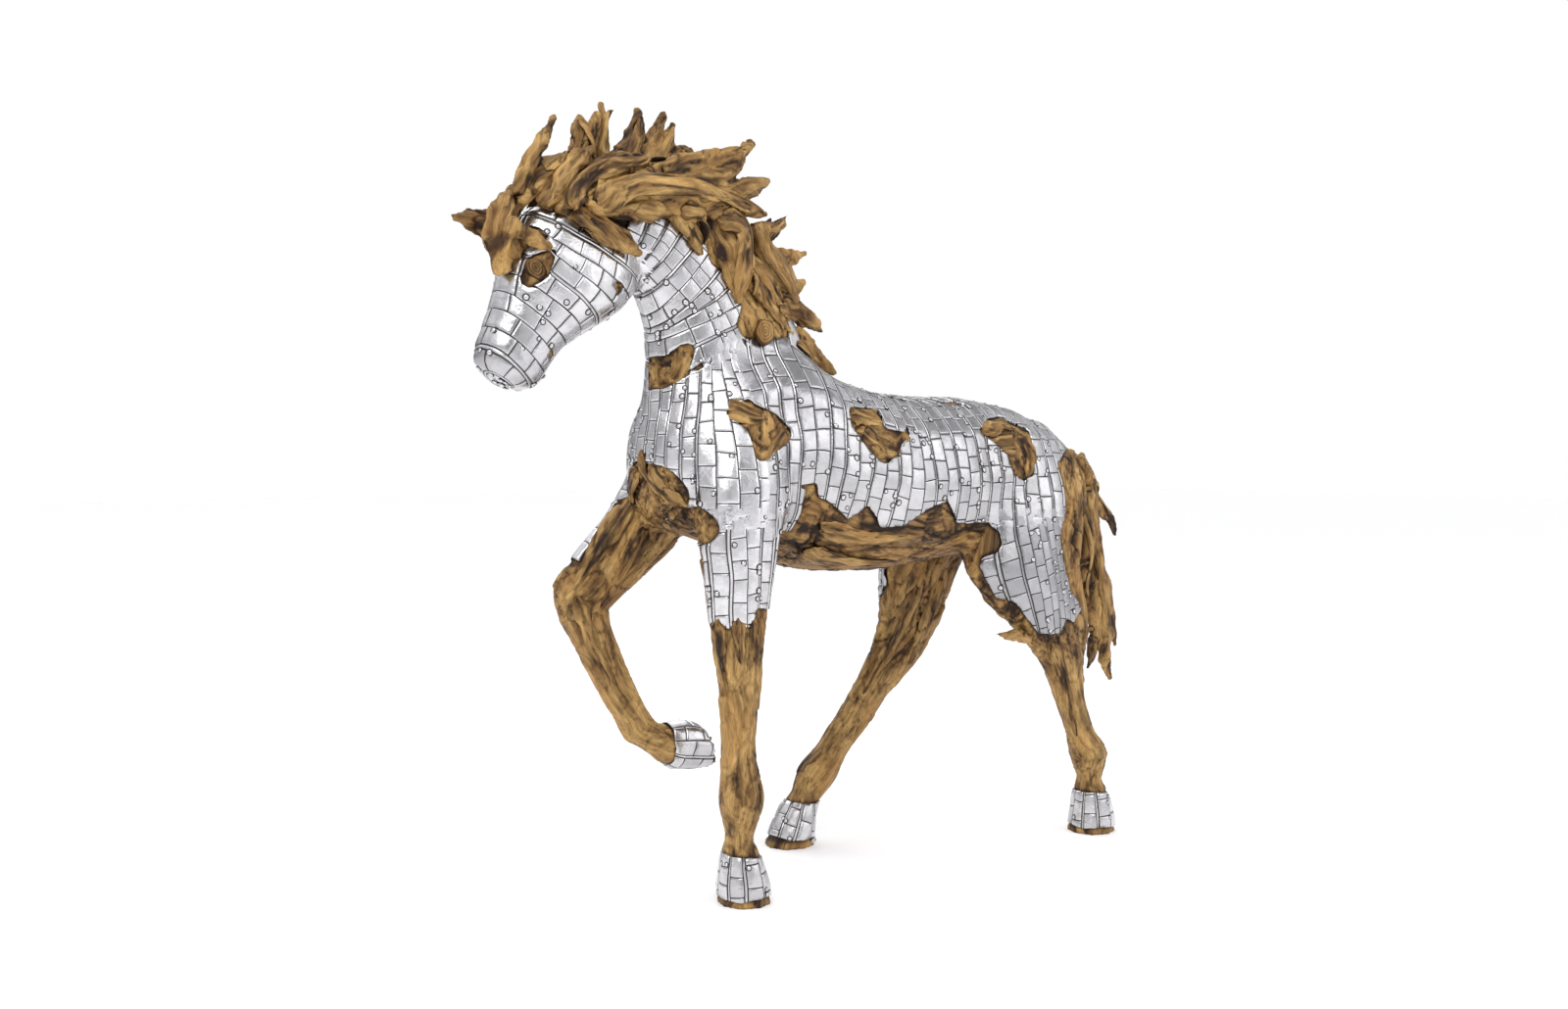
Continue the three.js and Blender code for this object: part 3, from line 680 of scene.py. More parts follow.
def laid(path, ground):
    """A smooth line through a blade's points, moved onto the ground below it, and the ways out from there."""
    path = np.array(path)
    stops = np.linspace(0, len(path) - 1, RINGS)
    line = np.stack([np.interp(stops, np.arange(len(path)), path[:, k]) for k in range(3)], axis=1)
    line = relaxed(line, LINE_TURNS)
    out = np.zeros_like(line)
    rise = np.zeros(RINGS)
    for i, point in enumerate(line):
        spot, normal = ground.find_nearest(Vector(point))[:2]
        out[i] = normal
        rise[i] = (spot - Vector(point)).dot(normal)
    out = relaxed(out, OUT_TURNS)
    out /= np.linalg.norm(out, axis=1)[:, None]
    rise = relaxed(np.clip(rise, -MOST_RISE, MOST_RISE)[:, None], RISE_TURNS)
    return line + out * rise, out


def relaxed(rows, turns):
    """Rows of numbers smoothed along their length."""
    for _ in range(turns):
        rows = np.concatenate([rows[:1], (rows[:-2] + 2 * rows[1:-1] + rows[2:]) / 4, rows[-1:]])
    return rows


def blade_section(t, wide, number):
    """A flat, leaning blade's rings, t of the way from root to tip: widths, heights, depths, leans, tops."""
    seam = np.column_stack([t * 5, 0 * t, 0 * t]) + number * 3.3
    width = wide * np.minimum(1, 0.35 + (t / 0.16)) * (1 - t) ** 0.6 * 1.25
    width = width * (1 + 0.28 * noise(seam, 3)) + LEAST
    deep = wide * 0.36 * np.minimum(1, 0.4 + t / 0.2) * (1 - t) ** 0.45 + LEAST
    lean = 0.30 * math.sin(number * 2.4) + 0.35 * noise(seam * 0.5, 4)
    turn = np.linspace(0, 2 * math.pi, SIDES, endpoint=False)
    flat = np.sign(np.cos(turn)) * np.abs(np.cos(turn)) ** 0.85
    tall = np.sign(np.sin(turn)) * np.abs(np.sin(turn)) ** 1.1
    return width[:, None] * flat, deep[:, None] * tall, deep, lean, tall


def blade(path, wide, sink, ground, number):
    """One flat blade with a blunt split root, a pointed tip, flutes and splits: points, grain and painted
    shade in the hollows and underneath.
    """
    line, out = laid(path, ground)
    along = np.gradient(line, axis=0)
    length = np.concatenate([[0], np.cumsum(np.linalg.norm(np.diff(line, axis=0), axis=1))])
    along /= np.linalg.norm(along, axis=1)[:, None]
    side = np.cross(along, out)
    side /= np.linalg.norm(side, axis=1)[:, None]
    up = np.cross(side, along)
    t = np.linspace(0, 1, RINGS)
    a, b, deep, lean, tall = blade_section(t, wide, number)
    across = a * np.cos(lean)[:, None] - b * np.sin(lean)[:, None]
    above = a * np.sin(lean)[:, None] + b * np.cos(lean)[:, None]
    grain = np.stack([np.broadcast_to(length[:, None], a.shape), a, b], axis=2).reshape(-1, 3) + number * 1.9
    warp = noise(grain * 14, 2)[:, None] * 0.4
    flutes = np.minimum(np.abs(noise(grain * (5, 62, 62) + warp, number)) * 2.2, 1).reshape(a.shape)
    splits = peak(noise(grain * (3.5, 40, 40) + warp, number + 5), 0.05).reshape(a.shape)
    worn = (BLADE_FLUTE * (0.45 - flutes) - BLADE_SPLIT * splits) * np.minimum(1, deep / 0.006)[:, None]
    swell = 1 + worn / (np.hypot(a, b) + 1e-6)
    across, above = across * swell, above * swell + deep[:, None] * 0.7 - sink
    ragged = noise(grain * (3, 90, 90), number + 8).reshape(a.shape)
    ragged = BLADE_RAGGED * ragged * (1 - ramp(t, 0.0, 0.12))[:, None]
    points = (line[:, None] + side[:, None] * across[..., None] + up[:, None] * above[..., None]
              + along[:, None] * ragged[..., None])
    # Painted shade on the underside, in the splits and in the deep flutes.
    underside_shade = ramp(-tall, -0.15, 0.5)[None, :] * np.ones_like(a)
    hollow_shade = np.clip(0.7 * splits + 0.5 * ramp(flutes, 0.7, 1.0) + underside_shade, 0, 1)
    return points.reshape(-1, 3), grain, hollow_shade.ravel()


def blades(name, plans, sink, tone, ground, material, slot):
    """One piece of several blades, let into the ground by sink; tone makes them paler or darker."""
    points, grain, hollow_shade, tint, faces = [], [], [], [], []
    number = 0
    for wide, both, *path in plans:
        for side in (1, -1)[:1 + both]:
            number += 1
            start = len(points) * RINGS * SIDES
            path_here = [(x / 1000, y * side / 1000, z / 1000) for x, y, z in path]
            made = blade(path_here, wide / 1000, sink, ground, number)
            for rows, more in zip((points, grain, hollow_shade), made):
                rows.append(more)
            tint.append(np.full(RINGS * SIDES, 0.25 + tone + 0.65 * ((number * 0.618) % 1.0)))
            faces += [face[:1] + face[:0:-1] for face in ring_faces(start, RINGS, SIDES)]
            faces.append(tuple(start + k for k in reversed(range(SIDES))))
            faces.append(tuple(start + (RINGS - 1) * SIDES + k for k in range(SIDES)))
    mesh = bpy.data.meshes.new(name)
    mesh.from_pydata(inside_box(np.concatenate(points)).tolist(), [], faces)
    for layer, rows in (("grain", grain), ("hollow_shade", hollow_shade), ("tint", tint)):
        set_layer(mesh, layer, np.concatenate(rows))
    finished(new_object(name, mesh), material, slot)


def joined_tree(nodes):
    """A search tree over several CAD nodes."""
    points, faces = [], []
    for node in nodes:
        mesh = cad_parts[node].data
        start = len(points)
        points += [v.co for v in mesh.vertices]
        faces += [tuple(start + k for k in p.vertices) for p in mesh.polygons]
    return BVHTree.FromPolygons(points, faces)


class HORSE_OT_blades(bpy.types.Operator):
    """Lays split blades of root wood over the mane, the tail, the legs and the belly"""

    bl_idname = "horse.blades"
    bl_label = "Split blades"

    def execute(self, context):
        material = wood_material("Blade wood", context)
        mane, tail = joined_tree(lock_names("mane", "wood_body")), joined_tree(lock_names("tail"))
        body = form_tree()
        blades("mane_blades", MANE_BLADES, 0.0, 0.0, mane, material, "root_wood_mane")
        blades("tail_blades", TAIL_BLADES, 0.0, 0.0, tail, material, "root_wood_tail")
        blades("body_blades", BODY_BLADES, 0.002, -0.3, body, material, "root_wood_body")
        blades("patch_blades", PATCH_BLADES, 0.008, -0.1, body, material, "root_wood_body")
        return {"FINISHED"}


# Round carvings

# Name, slot, middle, way out, half length and height, turn of the long axis in degrees, height of each ring.
CARVINGS = (
    ("carved_eye", "root_wood_body", (-0.929, -0.084, 1.511), (-0.42, -0.9, 0.05), (0.032, 0.022), 38,
     (0.007, 0.0062, 0.0015, 0.005, 0.0052, 0.0012, 0.0045, 0.004, 0.0, -0.006)),
    ("log_end", "root_wood_mane", (-0.300, -0.110, 1.390), (-0.50, -0.85, 0.05), (0.036, 0.030), 10,
     (0.030, 0.033, 0.031, 0.033, 0.0315, 0.033, 0.032, 0.028, 0.010, -0.012)),
)
CARVING_SIDES = 40
CARVING_SEARCH = (0.10, 0.3)  # how far out the search for the surface starts, and how long it is
RING_SEARCH = (0.06, 0.12)  # the same for the points of the rings
LOW_RIM = 0.010  # outer rings no higher than this get painted shade


def carving(name, ground, middle, out, sizes, turn, rings, seed):
    """A round carving of rings, set on the body's surface."""
    out = Vector(out).normalized()
    across = Vector((out.z, 0, -out.x)).normalized()
    up = out.cross(across)
    lean = math.radians(turn)
    points, hollow_shade = [], []
    middle = Vector(middle)
    base = ground.ray_cast(middle + out * CARVING_SEARCH[0], -out, CARVING_SEARCH[1])[0] or middle
    for (ring, height), side in product(enumerate(rings), range(CARVING_SIDES)):
        angle = 2 * math.pi * side / CARVING_SIDES
        uneven = 1 + 0.07 * math.sin(2 * angle + seed) + 0.04 * math.sin(5 * angle)  # not quite round
        reach = (ring + 0.01) / (len(rings) - 1) * uneven
        a, b = math.cos(angle) * sizes[0] * reach, math.sin(angle) * sizes[1] * reach
        a, b = a * math.cos(lean) - b * math.sin(lean), a * math.sin(lean) + b * math.cos(lean)
        foot = base + across * a + up * b
        there = ground.ray_cast(foot + out * RING_SEARCH[0], -out, RING_SEARCH[1])[0]
        points.append((there or foot) + out * height)
        # Painted shade: all of it on the low outer rim, half of it on every other ring.
        hollow_shade.append(1.0 if height <= LOW_RIM and ring >= len(rings) - 2 else 0.5 * (ring % 2))
    mesh = bpy.data.meshes.new(name)
    faces = [tuple(range(CARVING_SIDES))] + ring_faces(0, len(rings), CARVING_SIDES)
    mesh.from_pydata([tuple(k) for k in points], [], faces)
    places = vertices_of(mesh)
    set_layer(mesh, "grain", places[:, [2, 0, 1]] * (0.3, 0.5, 0.5) + seed)
    set_layer(mesh, "tint", np.full(len(places), 0.9))
    set_layer(mesh, "hollow_shade", np.array(hollow_shade))
    return new_object(name, mesh)


class HORSE_OT_carvings(bpy.types.Operator):
    """Carves the ringed eyes and the round log ends below the mane"""

    bl_idname = "horse.carvings"
    bl_label = "Eyes and log ends"

    def execute(self, context):
        material = wood_material("Carved wood", context)
        ground = form_tree()
        for number, (name, slot, middle, out, sizes, turn, rings) in enumerate(CARVINGS):
            for mark, side in (("left", 1), ("right", -1)):
                middle_here, out_here = ((x, y * side, z) for x, y, z in (middle, out))
                piece = carving(f"{name}_{mark}", ground, middle_here, out_here, sizes, turn * side, rings,
                                number * 2.7)
                if side < 0:
                    piece.data.flip_normals()
                finished(piece, material, slot)
        return {"FINISHED"}


# Metal tiles

# Each chart lays tiles round a line: points on the line, and the way that angle 0 looks. turn is the range
# of angles in degrees. along says whether the strips of tiles run along the line or round it. keep gives a
# point's distances inside the chart's own share. girth is the radius, and tip the radius at the far end. nose
# turns the rays forwards past the end, in degrees. shade darkens the metal as painted shade, worn and crumple
# roughen it, worn also darkens it there as painted shade, and beaded is the share of raised seams.
WHOLE = dict(turn=(-180, 180), along=True, keep=lambda p: (1,))
CHARTS = {
    "chest": dict(WHOLE, line=[(-0.40, 0, 0.90), (-0.40, 0, 1.45)], ahead=(-1, 0, 0), turn=(-98, 98),
                  keep=lambda p: (-0.40 - p[0], p[2] - 0.925), girth=0.20),
    "trunk": dict(line=[(-0.40, 0, 1.06), (-0.20, 0, 1.06), (0.10, 0, 1.02), (0.40, 0, 1.03),
                        (0.90, 0, 1.03)],
                  ahead=(0, 0, 1), turn=(-135, 135), along=False, keep=lambda p: (p[0] + 0.40, p[2] - 0.90),
                  girth=0.235, reach=0.50, shade=0.45),
    "neck": dict(WHOLE, line=[(-0.30, 0, 1.20), (-0.34, 0, 1.34), (-0.42, 0, 1.50), (-0.56, 0, 1.62),
                              (-0.66, 0, 1.66)],
                 ahead=(-1, 0, -0.6), along=False, girth=0.16, tip=0.11, shade=0.35, beaded=0.4),
    "head": dict(WHOLE, line=[(-0.70, 0, 1.68), (-0.79, 0, 1.50), (-0.88, 0, 1.38), (-0.95, 0, 1.29),
                              (-0.955, 0, 1.285)],
                 ahead=(-1, 0, 0.4), along=False, girth=0.125, tip=0.048, nose=86, worn=1.0, beaded=0.3),
    "forearm_left": dict(WHOLE, line=[(-0.43, -0.17, 0.96), (-0.43, -0.178, 0.66)], ahead=(0, -1, 0),
                         keep=lambda p: (0.955 - p[2], -0.11 - p[1]), girth=0.075, shade=-0.1),
    "forearm_right": dict(WHOLE, line=[(-0.40, 0.155, 1.00), (-0.50, 0.16, 0.90), (-0.61, 0.18, 0.77)],
                          ahead=(0, 1, 0), keep=lambda p: (0.955 - p[2], p[1] - 0.10), girth=0.075),
    "thigh_left": dict(WHOLE, line=[(0.56, -0.15, 0.97), (0.60, -0.16, 0.80), (0.65, -0.18, 0.56)],
                       ahead=(0, -1, 0), keep=lambda p: (0.925 - p[2], -0.11 - p[1]), girth=0.16, shade=1.1),
    "thigh_right": dict(WHOLE, line=[(0.52, 0.14, 0.97), (0.48, 0.15, 0.80), (0.44, 0.17, 0.60)],
                        ahead=(0, 1, 0), keep=lambda p: (0.925 - p[2], p[1] - 0.10), girth=0.14, shade=0.8),
}
HOOF_LINES = {
    "hoof_plates_fore_left": ([(-0.432, -0.19, 0.14), (-0.424, -0.19, 0.010)], (-1, 0, 0)),
    "hoof_plates_hind_left": ([(0.812, -0.20, 0.14), (0.818, -0.20, 0.010)], (-1, 0, 0)),
    "hoof_plates_hind_right": ([(0.075, 0.20, 0.14), (0.026, 0.20, 0.010)], (-1, 0, 0)),
    "hoof_plates_fore_right": ([(-0.40, 0.19, 0.335), (-0.246, 0.19, 0.317)], (0, 0, -1)),
}
for hoof, (line, ahead) in HOOF_LINES.items():
    CHARTS[hoof] = dict(WHOLE, line=line, ahead=ahead, girth=0.060, crumple=0.5, shade=0.25)

# Each metal skin: the neighbours that it meets, and the charts that cover it.
SKINS = {
    "head_plates": (["neck_plates"], ["head"]),
    "neck_plates": (["head_plates", "body_plates"], ["neck"]),
    "body_plates": (["neck_plates"],
                    ["chest", "trunk", "forearm_left", "forearm_right", "thigh_left", "thigh_right"]),
    **{hoof: ([], [hoof]) for hoof in HOOF_LINES},
}
RIM = (0.0, 1.7, 3.7, 6.2)  # mesh lines in from a tile's edge, in millimetres
FIELD = (0.27, 0.5, 0.73)  # mesh lines across the rest of a tile
LINES = 2 * len(RIM) + len(FIELD)  # mesh lines across a whole tile
# Steps aside for a ray that slips through where two faces meet.
ASIDE = ((0, 0, 0), (0.0004, 0.0003, 0.0005), (-0.0005, 0.0004, -0.0003))
SLIVER = 0.012  # a shorter end of a strip joins the tile beside it
OVERLAP = 0.009  # how far one chart's tiles reach over the next chart's
UNDERLAP = 0.003  # how far the lower tiles are let in there
TORN = (0.0008, 0.010)  # least and most that the metal's torn edge stands beyond the solid's edge
FAR_CUT = 0.03  # a face with a corner this far beyond the edge is left out
SKIRT = 0.006  # how far the torn edge is turned down
BEND, BEND_WAVES = 0.12, 9.0  # how far a strip's edges wander, in strips, and how often in a metre
UNEVEN_SHIFT, UNEVEN_LENGTH, SKEW = 0.06, 0.08, 0.05  # spread of the tiles' places, lengths and ends
BEADED = 0.6  # share of seams with a raised bead, where the chart doesn't say
DENT_WAVES = 34  # in a metre
NAILED = 0.36  # chance of a nail, and of each further one, in a tile
NAIL_LINES = (3, 4, 6, 7)  # mesh lines on which nails may stand
NAIL_CLEAR = 0.006, 0.008  # how far a nail stays from the next skin and from the next chart
BRIDGE = 0.045  # a face longer than this would span a gap between two limbs


NOSE_RADIUS = 0.06
LINE_STEP = 0.05  # the line's direction is taken over this much to each side


class Chart:
    """Finds points of the body from a distance along a line and an angle round it."""

    def __init__(self, body, line, ahead, girth, nose=0, reach=0, **_):
        self.body = body
        self.reach = reach or girth * 1.35 + 0.06
        self.line = np.array(line, float)
        steps = np.linalg.norm(np.diff(self.line, axis=0), axis=1)
        self.stops = np.concatenate([[0], np.cumsum(steps)])
        self.nose = math.radians(nose)
        self.nose_length = self.nose * NOSE_RADIUS
        self.length = self.stops[-1] + self.nose_length
        self.ahead = np.array(ahead, float)

    def rays(self, s, angle):
        """The points on the line and the ways out from it."""
        end = self.stops[-1]
        tilt = np.clip((s - end) / max(self.nose_length, 1e-6), 0, 1) * self.nose
        s = np.minimum(s, end)
        middle, low, high = (np.stack([np.interp(np.clip(s + d, 0, end), self.stops, self.line[:, k])
                                       for k in range(3)], axis=1) for d in (0, -LINE_STEP, LINE_STEP))
        along = (high - low) / np.linalg.norm(high - low, axis=1)[:, None]
        up = self.ahead - along * (along @ self.ahead)[:, None]
        up /= np.linalg.norm(up, axis=1)[:, None]
        side = np.cross(along, up)
        out = np.cos(angle)[:, None] * up + np.sin(angle)[:, None] * side
        return middle, np.cos(tilt)[:, None] * out + np.sin(tilt)[:, None] * along

    def find(self, s, angle):
        """The body's outermost points on those rays with their normals; both are None where a ray misses."""
        spots = []
        for middle, out in zip(*self.rays(s, angle)):
            middle, out = Vector(middle), Vector(out)
            for aside in ASIDE:
                start = middle + out * self.reach + Vector(aside)
                point, normal, _, _ = self.body.ray_cast(start, -out, self.reach)
                if point is not None:
                    break
            spots.append((point, normal))
        return spots


class TileSheet:
    """Gathers the points and faces of many tiles and nail heads into one mesh."""

    def __init__(self):
        self.points, self.faces, self.seams, self.tones_and_shade = [], [], [], []

    def add(self, points, faces, seams, tone):
        """Adds one tile or nail head."""
        start = len(self.points)
        self.points += points
        self.faces += [tuple(start + i for i in face) for face in faces]
        self.seams += seams
        self.tones_and_shade += [tone] * len(points)

    def piece(self, name):
        """One object of all that was added."""
        mesh = bpy.data.meshes.new(name)
        mesh.from_pydata(self.points, [], self.faces)
        set_layer(mesh, "seam", self.seams)
        set_layer(mesh, "tone", self.tones_and_shade)
        return new_object(name, mesh)


def mesh_lines(size):
    """Where a tile's mesh lines lie, from 0 to 1, close together at its rims."""
    rim = np.array(RIM) * MM / max(size, 4 * RIM[-1] * MM)
    return np.concatenate([rim, FIELD, 1 - rim[::-1]])


def tile_relief(w, t, place, plan, grid, worn, rng, sizes):
    """A tile's heights and dark seams: beads and grooves at its edges, a pillow, dents, and its own tilt."""
    # Distances are in millimetres here, from the tile's sides and from the nearer of its ends.
    low_side, high_side = w * place["size"][0] / MM, (1 - w) * place["size"][0] / MM
    side = np.minimum(low_side, high_side)
    tail = np.minimum(t, 1 - t) * place["size"][1] / MM
    beaded = np.where(low_side < high_side, *place["beads"])
    plate = np.where(beaded, ramp(side, 3.4, 6.0), ramp(side, 0.2, 2.8)) * ramp(tail, 0.2, 2.8)
    bead = beaded * peak(side, 1.9)
    dark = np.where(beaded, peak(side - 3.7, 1.5), peak(side, 1.5))
    dark = np.maximum(dark, peak(tail, 1.5) * np.where(beaded, ramp(side, 2.0, 4.0), 1))
    crumple = 0.6 + 2.2 * np.clip(noise(grid * 5.5, 21), 0, 1) + plan.get("crumple", 0) + 3.0 * worn
    dents = layered((grid + rng.random(3) * 50) * DENT_WAVES, 2, 3) * crumple
    tilt = rng.normal(0, 0.5, 2)
    pillow = 16 * w * (1 - w) * t * (1 - t)
    lift = 0.7 + 2.4 * bead + plate * (sizes.tile_lift / MM + 0.9 * pillow + 0.75 * dents - 0.7
                                       + tilt[0] * (w - 0.5) + tilt[1] * (t - 0.5))
    return np.maximum(lift, 0.2) * MM, dark


def tile_faces(grid, cuts, shares):
    """The faces of a tile that lie on the metal and in the chart's own share."""
    faces = []
    for row, column in product(range(LINES - 1), repeat=2):
        a = row * LINES + column
        face = (a, a + 1, a + LINES + 1, a + LINES)
        off_edge = min(cuts[k] for k in face) > 0 or max(cuts[k] for k in face) > FAR_CUT
        if off_edge or min(shares[k] for k in face) > OVERLAP:
            continue
        if max(np.linalg.norm(grid[k] - grid[a]) for k in face) < BRIDGE:
            faces.append(face)
    return faces


def tile(sheet, chart, cladding, plan, place, rng, sizes):
    """Adds one hand-cut tile, torn off at the metal's edge, and gives its points, normals and heights."""
    across, along = mesh_lines(place["size"][0]), mesh_lines(place["size"][1])
    w, t = (k.ravel() for k in np.meshgrid(across, along))
    start, end = (place[k] + skew * (w - 0.5) for k, skew in zip(("start", "end"), place["skew"]))
    down = start + (end - start) * t
    bends = [BEND * noise(np.stack([0 * w + k * 7.3, down * place["bend"], 0 * w], axis=1), 3)
             for k in place["edges"]]
    over = (place["edges"][0] + bends[0]) * (1 - w) + (place["edges"][1] + bends[1]) * w
    turned = place["turn"](over)
    spots = chart.find(*((down, turned) if plan["along"] else (turned, down)))
    hits = [spot for spot in spots if spot[0] is not None]
    if len(hits) < LINES:
        return None
    grid = np.array([p or hits[0][0] for p, _ in spots])
    normals = np.array([n or hits[0][1] for _, n in spots])
    # worn crumples the tiles near the nose, and darkens them there as painted shade.
    worn = plan.get("worn", 0) * ramp(turned / chart.length, 0.6, 0.9)
    lift, dark = tile_relief(w, t, place, plan, grid, worn, rng, sizes)

    # The torn edge wanders in long waves and short ones.
    torn = np.clip(0.0025 + 0.007 * noise((grid + 3) * 16, 5) + 0.002 * noise((grid + 7) * 48, 6), *TORN)
    cuts, shares = np.zeros(len(w)), np.zeros(len(w))
    for i, (point, normal) in enumerate(spots):
        if point is None:
            cuts[i] = 1.0
            continue
        away, way, into = cladding.outside(point, normal)
        cuts[i] = away - torn[i]
        shares[i] = max([into] + [-k for k in plan["keep"](point)])
        if cuts[i] > 0:
            grid[i] += np.array(way) * min(1.0, cuts[i] / max(way.length, 1e-6))
    lift -= UNDERLAP * ramp(shares, OVERLAP, OVERLAP * 2)
    points = inside_box(grid + normals * lift[:, None])
    faces = tile_faces(grid, cuts, shares)
    if not faces:
        return None
    skirts = torn_edges(faces, cuts)
    tops = sorted({k for edge in skirts for k in edge})
    below = {k: len(points) + n for n, k in enumerate(tops)}
    points = np.concatenate([points, inside_box(grid[tops] - normals[tops] * SKIRT)]) if tops else points
    # The turned-down torn edge is fully dark, a painted shadow.
    dark = np.concatenate([dark, np.ones(len(tops))])
    faces += [(b, a, below[a], below[b]) for a, b in skirts]
    used = sorted({k for face in faces for k in face})
    index = {k: n for n, k in enumerate(used)}
    # Random tone, with painted shade from the chart's shade and from the worn nose.
    tone = 0.15 + 0.7 * rng.random() + plan.get("shade", 0) + 0.6 * float(np.mean(worn))
    sheet.add([tuple(points[k]) for k in used], [tuple(index[k] for k in face) for face in faces],
              [dark[k] for k in used], tone)
    return [(point, normal, height) for (point, normal), height in zip(spots, lift)]


def torn_edges(faces, cuts):
    """The edges of kept faces that lie on the torn edge of the metal."""
    edges = {}
    for face in faces:
        for a, b in zip(face, face[1:] + face[:1]):
            edges.pop((b, a), None) or edges.update({(a, b): (a, b)})
    return [edge for edge in edges if cuts[edge[0]] > 0 and cuts[edge[1]] > 0]


# Reach, height and darkness of each ring of points.
NAIL_RINGS = ((0.5, 0.46, 0.0), (0.82, 0.26, 0.1), (0.98, 0.06, 1.0), (1.4, 0.05, 0.5))
NAIL_TOP = 0.55
NAIL_SIDES = 10


def nail(sheet, point, normal, radius, lift):
    """A small domed nail head."""
    side = normal.orthogonal().normalized()
    other = normal.cross(side)
    points = [tuple(point + normal * (lift + radius * NAIL_TOP))]
    for (across, up, _), k in product(NAIL_RINGS, range(NAIL_SIDES)):
        angle = 2 * math.pi * k / NAIL_SIDES
        out = (side * math.cos(angle) + other * math.sin(angle)) * radius * across
        points.append(tuple(point + out + normal * (lift + radius * up)))
    faces = [(0, 1 + k, 1 + (k + 1) % NAIL_SIDES) for k in range(NAIL_SIDES)]
    faces += ring_faces(1, len(NAIL_RINGS), NAIL_SIDES)
    seams = [0.0] + [dark for _, _, dark in NAIL_RINGS for _ in range(NAIL_SIDES)]
    sheet.add(points, faces, seams, 0.5)


def lay_tiles(sheet, chart, cladding, plan, rng, sizes):
    """Covers a chart with strips of tiles, each strip shifted from the last like bricks."""
    low, high = (math.radians(k) for k in plan["turn"])
    girth = plan["girth"]
    if plan["along"]:
        strips = max(3, round((high - low) * girth / sizes.tile_width))
        length, step, scale = chart.length, sizes.tile_height, 1.0
        base, first, width = 0.0, low, (high - low) / strips
    else:
        strips = max(3, round(chart.length / sizes.tile_width))
        length = high - low
        base, first, width = low, 0.0, chart.length / strips
    beads = rng.random(strips + 1) < plan.get("beaded", BEADED)
    shift = rng.random()
    for strip in range(strips):
        if not plan["along"]:
            scale = girth + (plan.get("tip", girth) - girth) * (strip + 0.5) / strips
            step = sizes.tile_height / scale
        shift = (shift + 0.5 + rng.normal(0, UNEVEN_SHIFT)) % 1.0
        start, skew = -shift * step, 0.0
        while start < length:
            end, next_skew = start + step * (1 + rng.normal(0, UNEVEN_LENGTH)), rng.normal(0, SKEW) * step
            if 0 < end * scale < SLIVER:
                end += step
            if (length - end) * scale < SLIVER:
                end = length
            begin, finish = max(start, 0.0), min(end, length)
            place = dict(start=begin + base, end=finish + base, skew=(skew, next_skew),
                         edges=(strip, strip + 1), beads=(beads[strip], beads[strip + 1]),
                         bend=BEND_WAVES * scale, turn=lambda k: first + width * k,
                         size=(width * (girth if plan["along"] else 1), (finish - begin) * scale))
            start, skew = end, next_skew
            if end > 0:
                spots = tile(sheet, chart, cladding, plan, place, rng, sizes)
                drive_nails(sheet, spots, cladding, plan, rng, sizes)


def drive_nails(sheet, spots, cladding, plan, rng, sizes):
    """Nails a tile down, here and there, well inside the metal and the chart's own share."""
    while spots and rng.random() < NAILED:
        point, normal, height = spots[rng.choice(NAIL_LINES) + LINES * rng.choice(NAIL_LINES)]
        if point is None:
            break
        away, _, into = cladding.outside(point, normal)
        if away < 0.0005 and into < -NAIL_CLEAR[0] and min(plan["keep"](point)) > NAIL_CLEAR[1]:
            nail(sheet, point, normal, sizes.nail_radius * (0.8 + 0.4 * rng.random()), height)


class HORSE_OT_metal(bpy.types.Operator):
    """Clads the head, the neck, the body and the hooves in hammered tiles"""

    bl_idname = "horse.metal"
    bl_label = "Metal tiles"

    def execute(self, context):
        sizes = context.scene.horse_sizes
        body = form_tree()
        material = metal_material("Hammered metal", context)
        for number, (node, (others, charts)) in enumerate(SKINS.items()):
            rng = np.random.default_rng(sizes.seed + number)
            sheet = TileSheet()
            cladding = Cladding([node], others)
            for name in charts:
                lay_tiles(sheet, Chart(body, **CHARTS[name]), cladding, CHARTS[name], rng, sizes)
            finished(sheet.piece("tiles_" + node), material, "hammered_metal", node)
        return {"FINISHED"}


# Materials

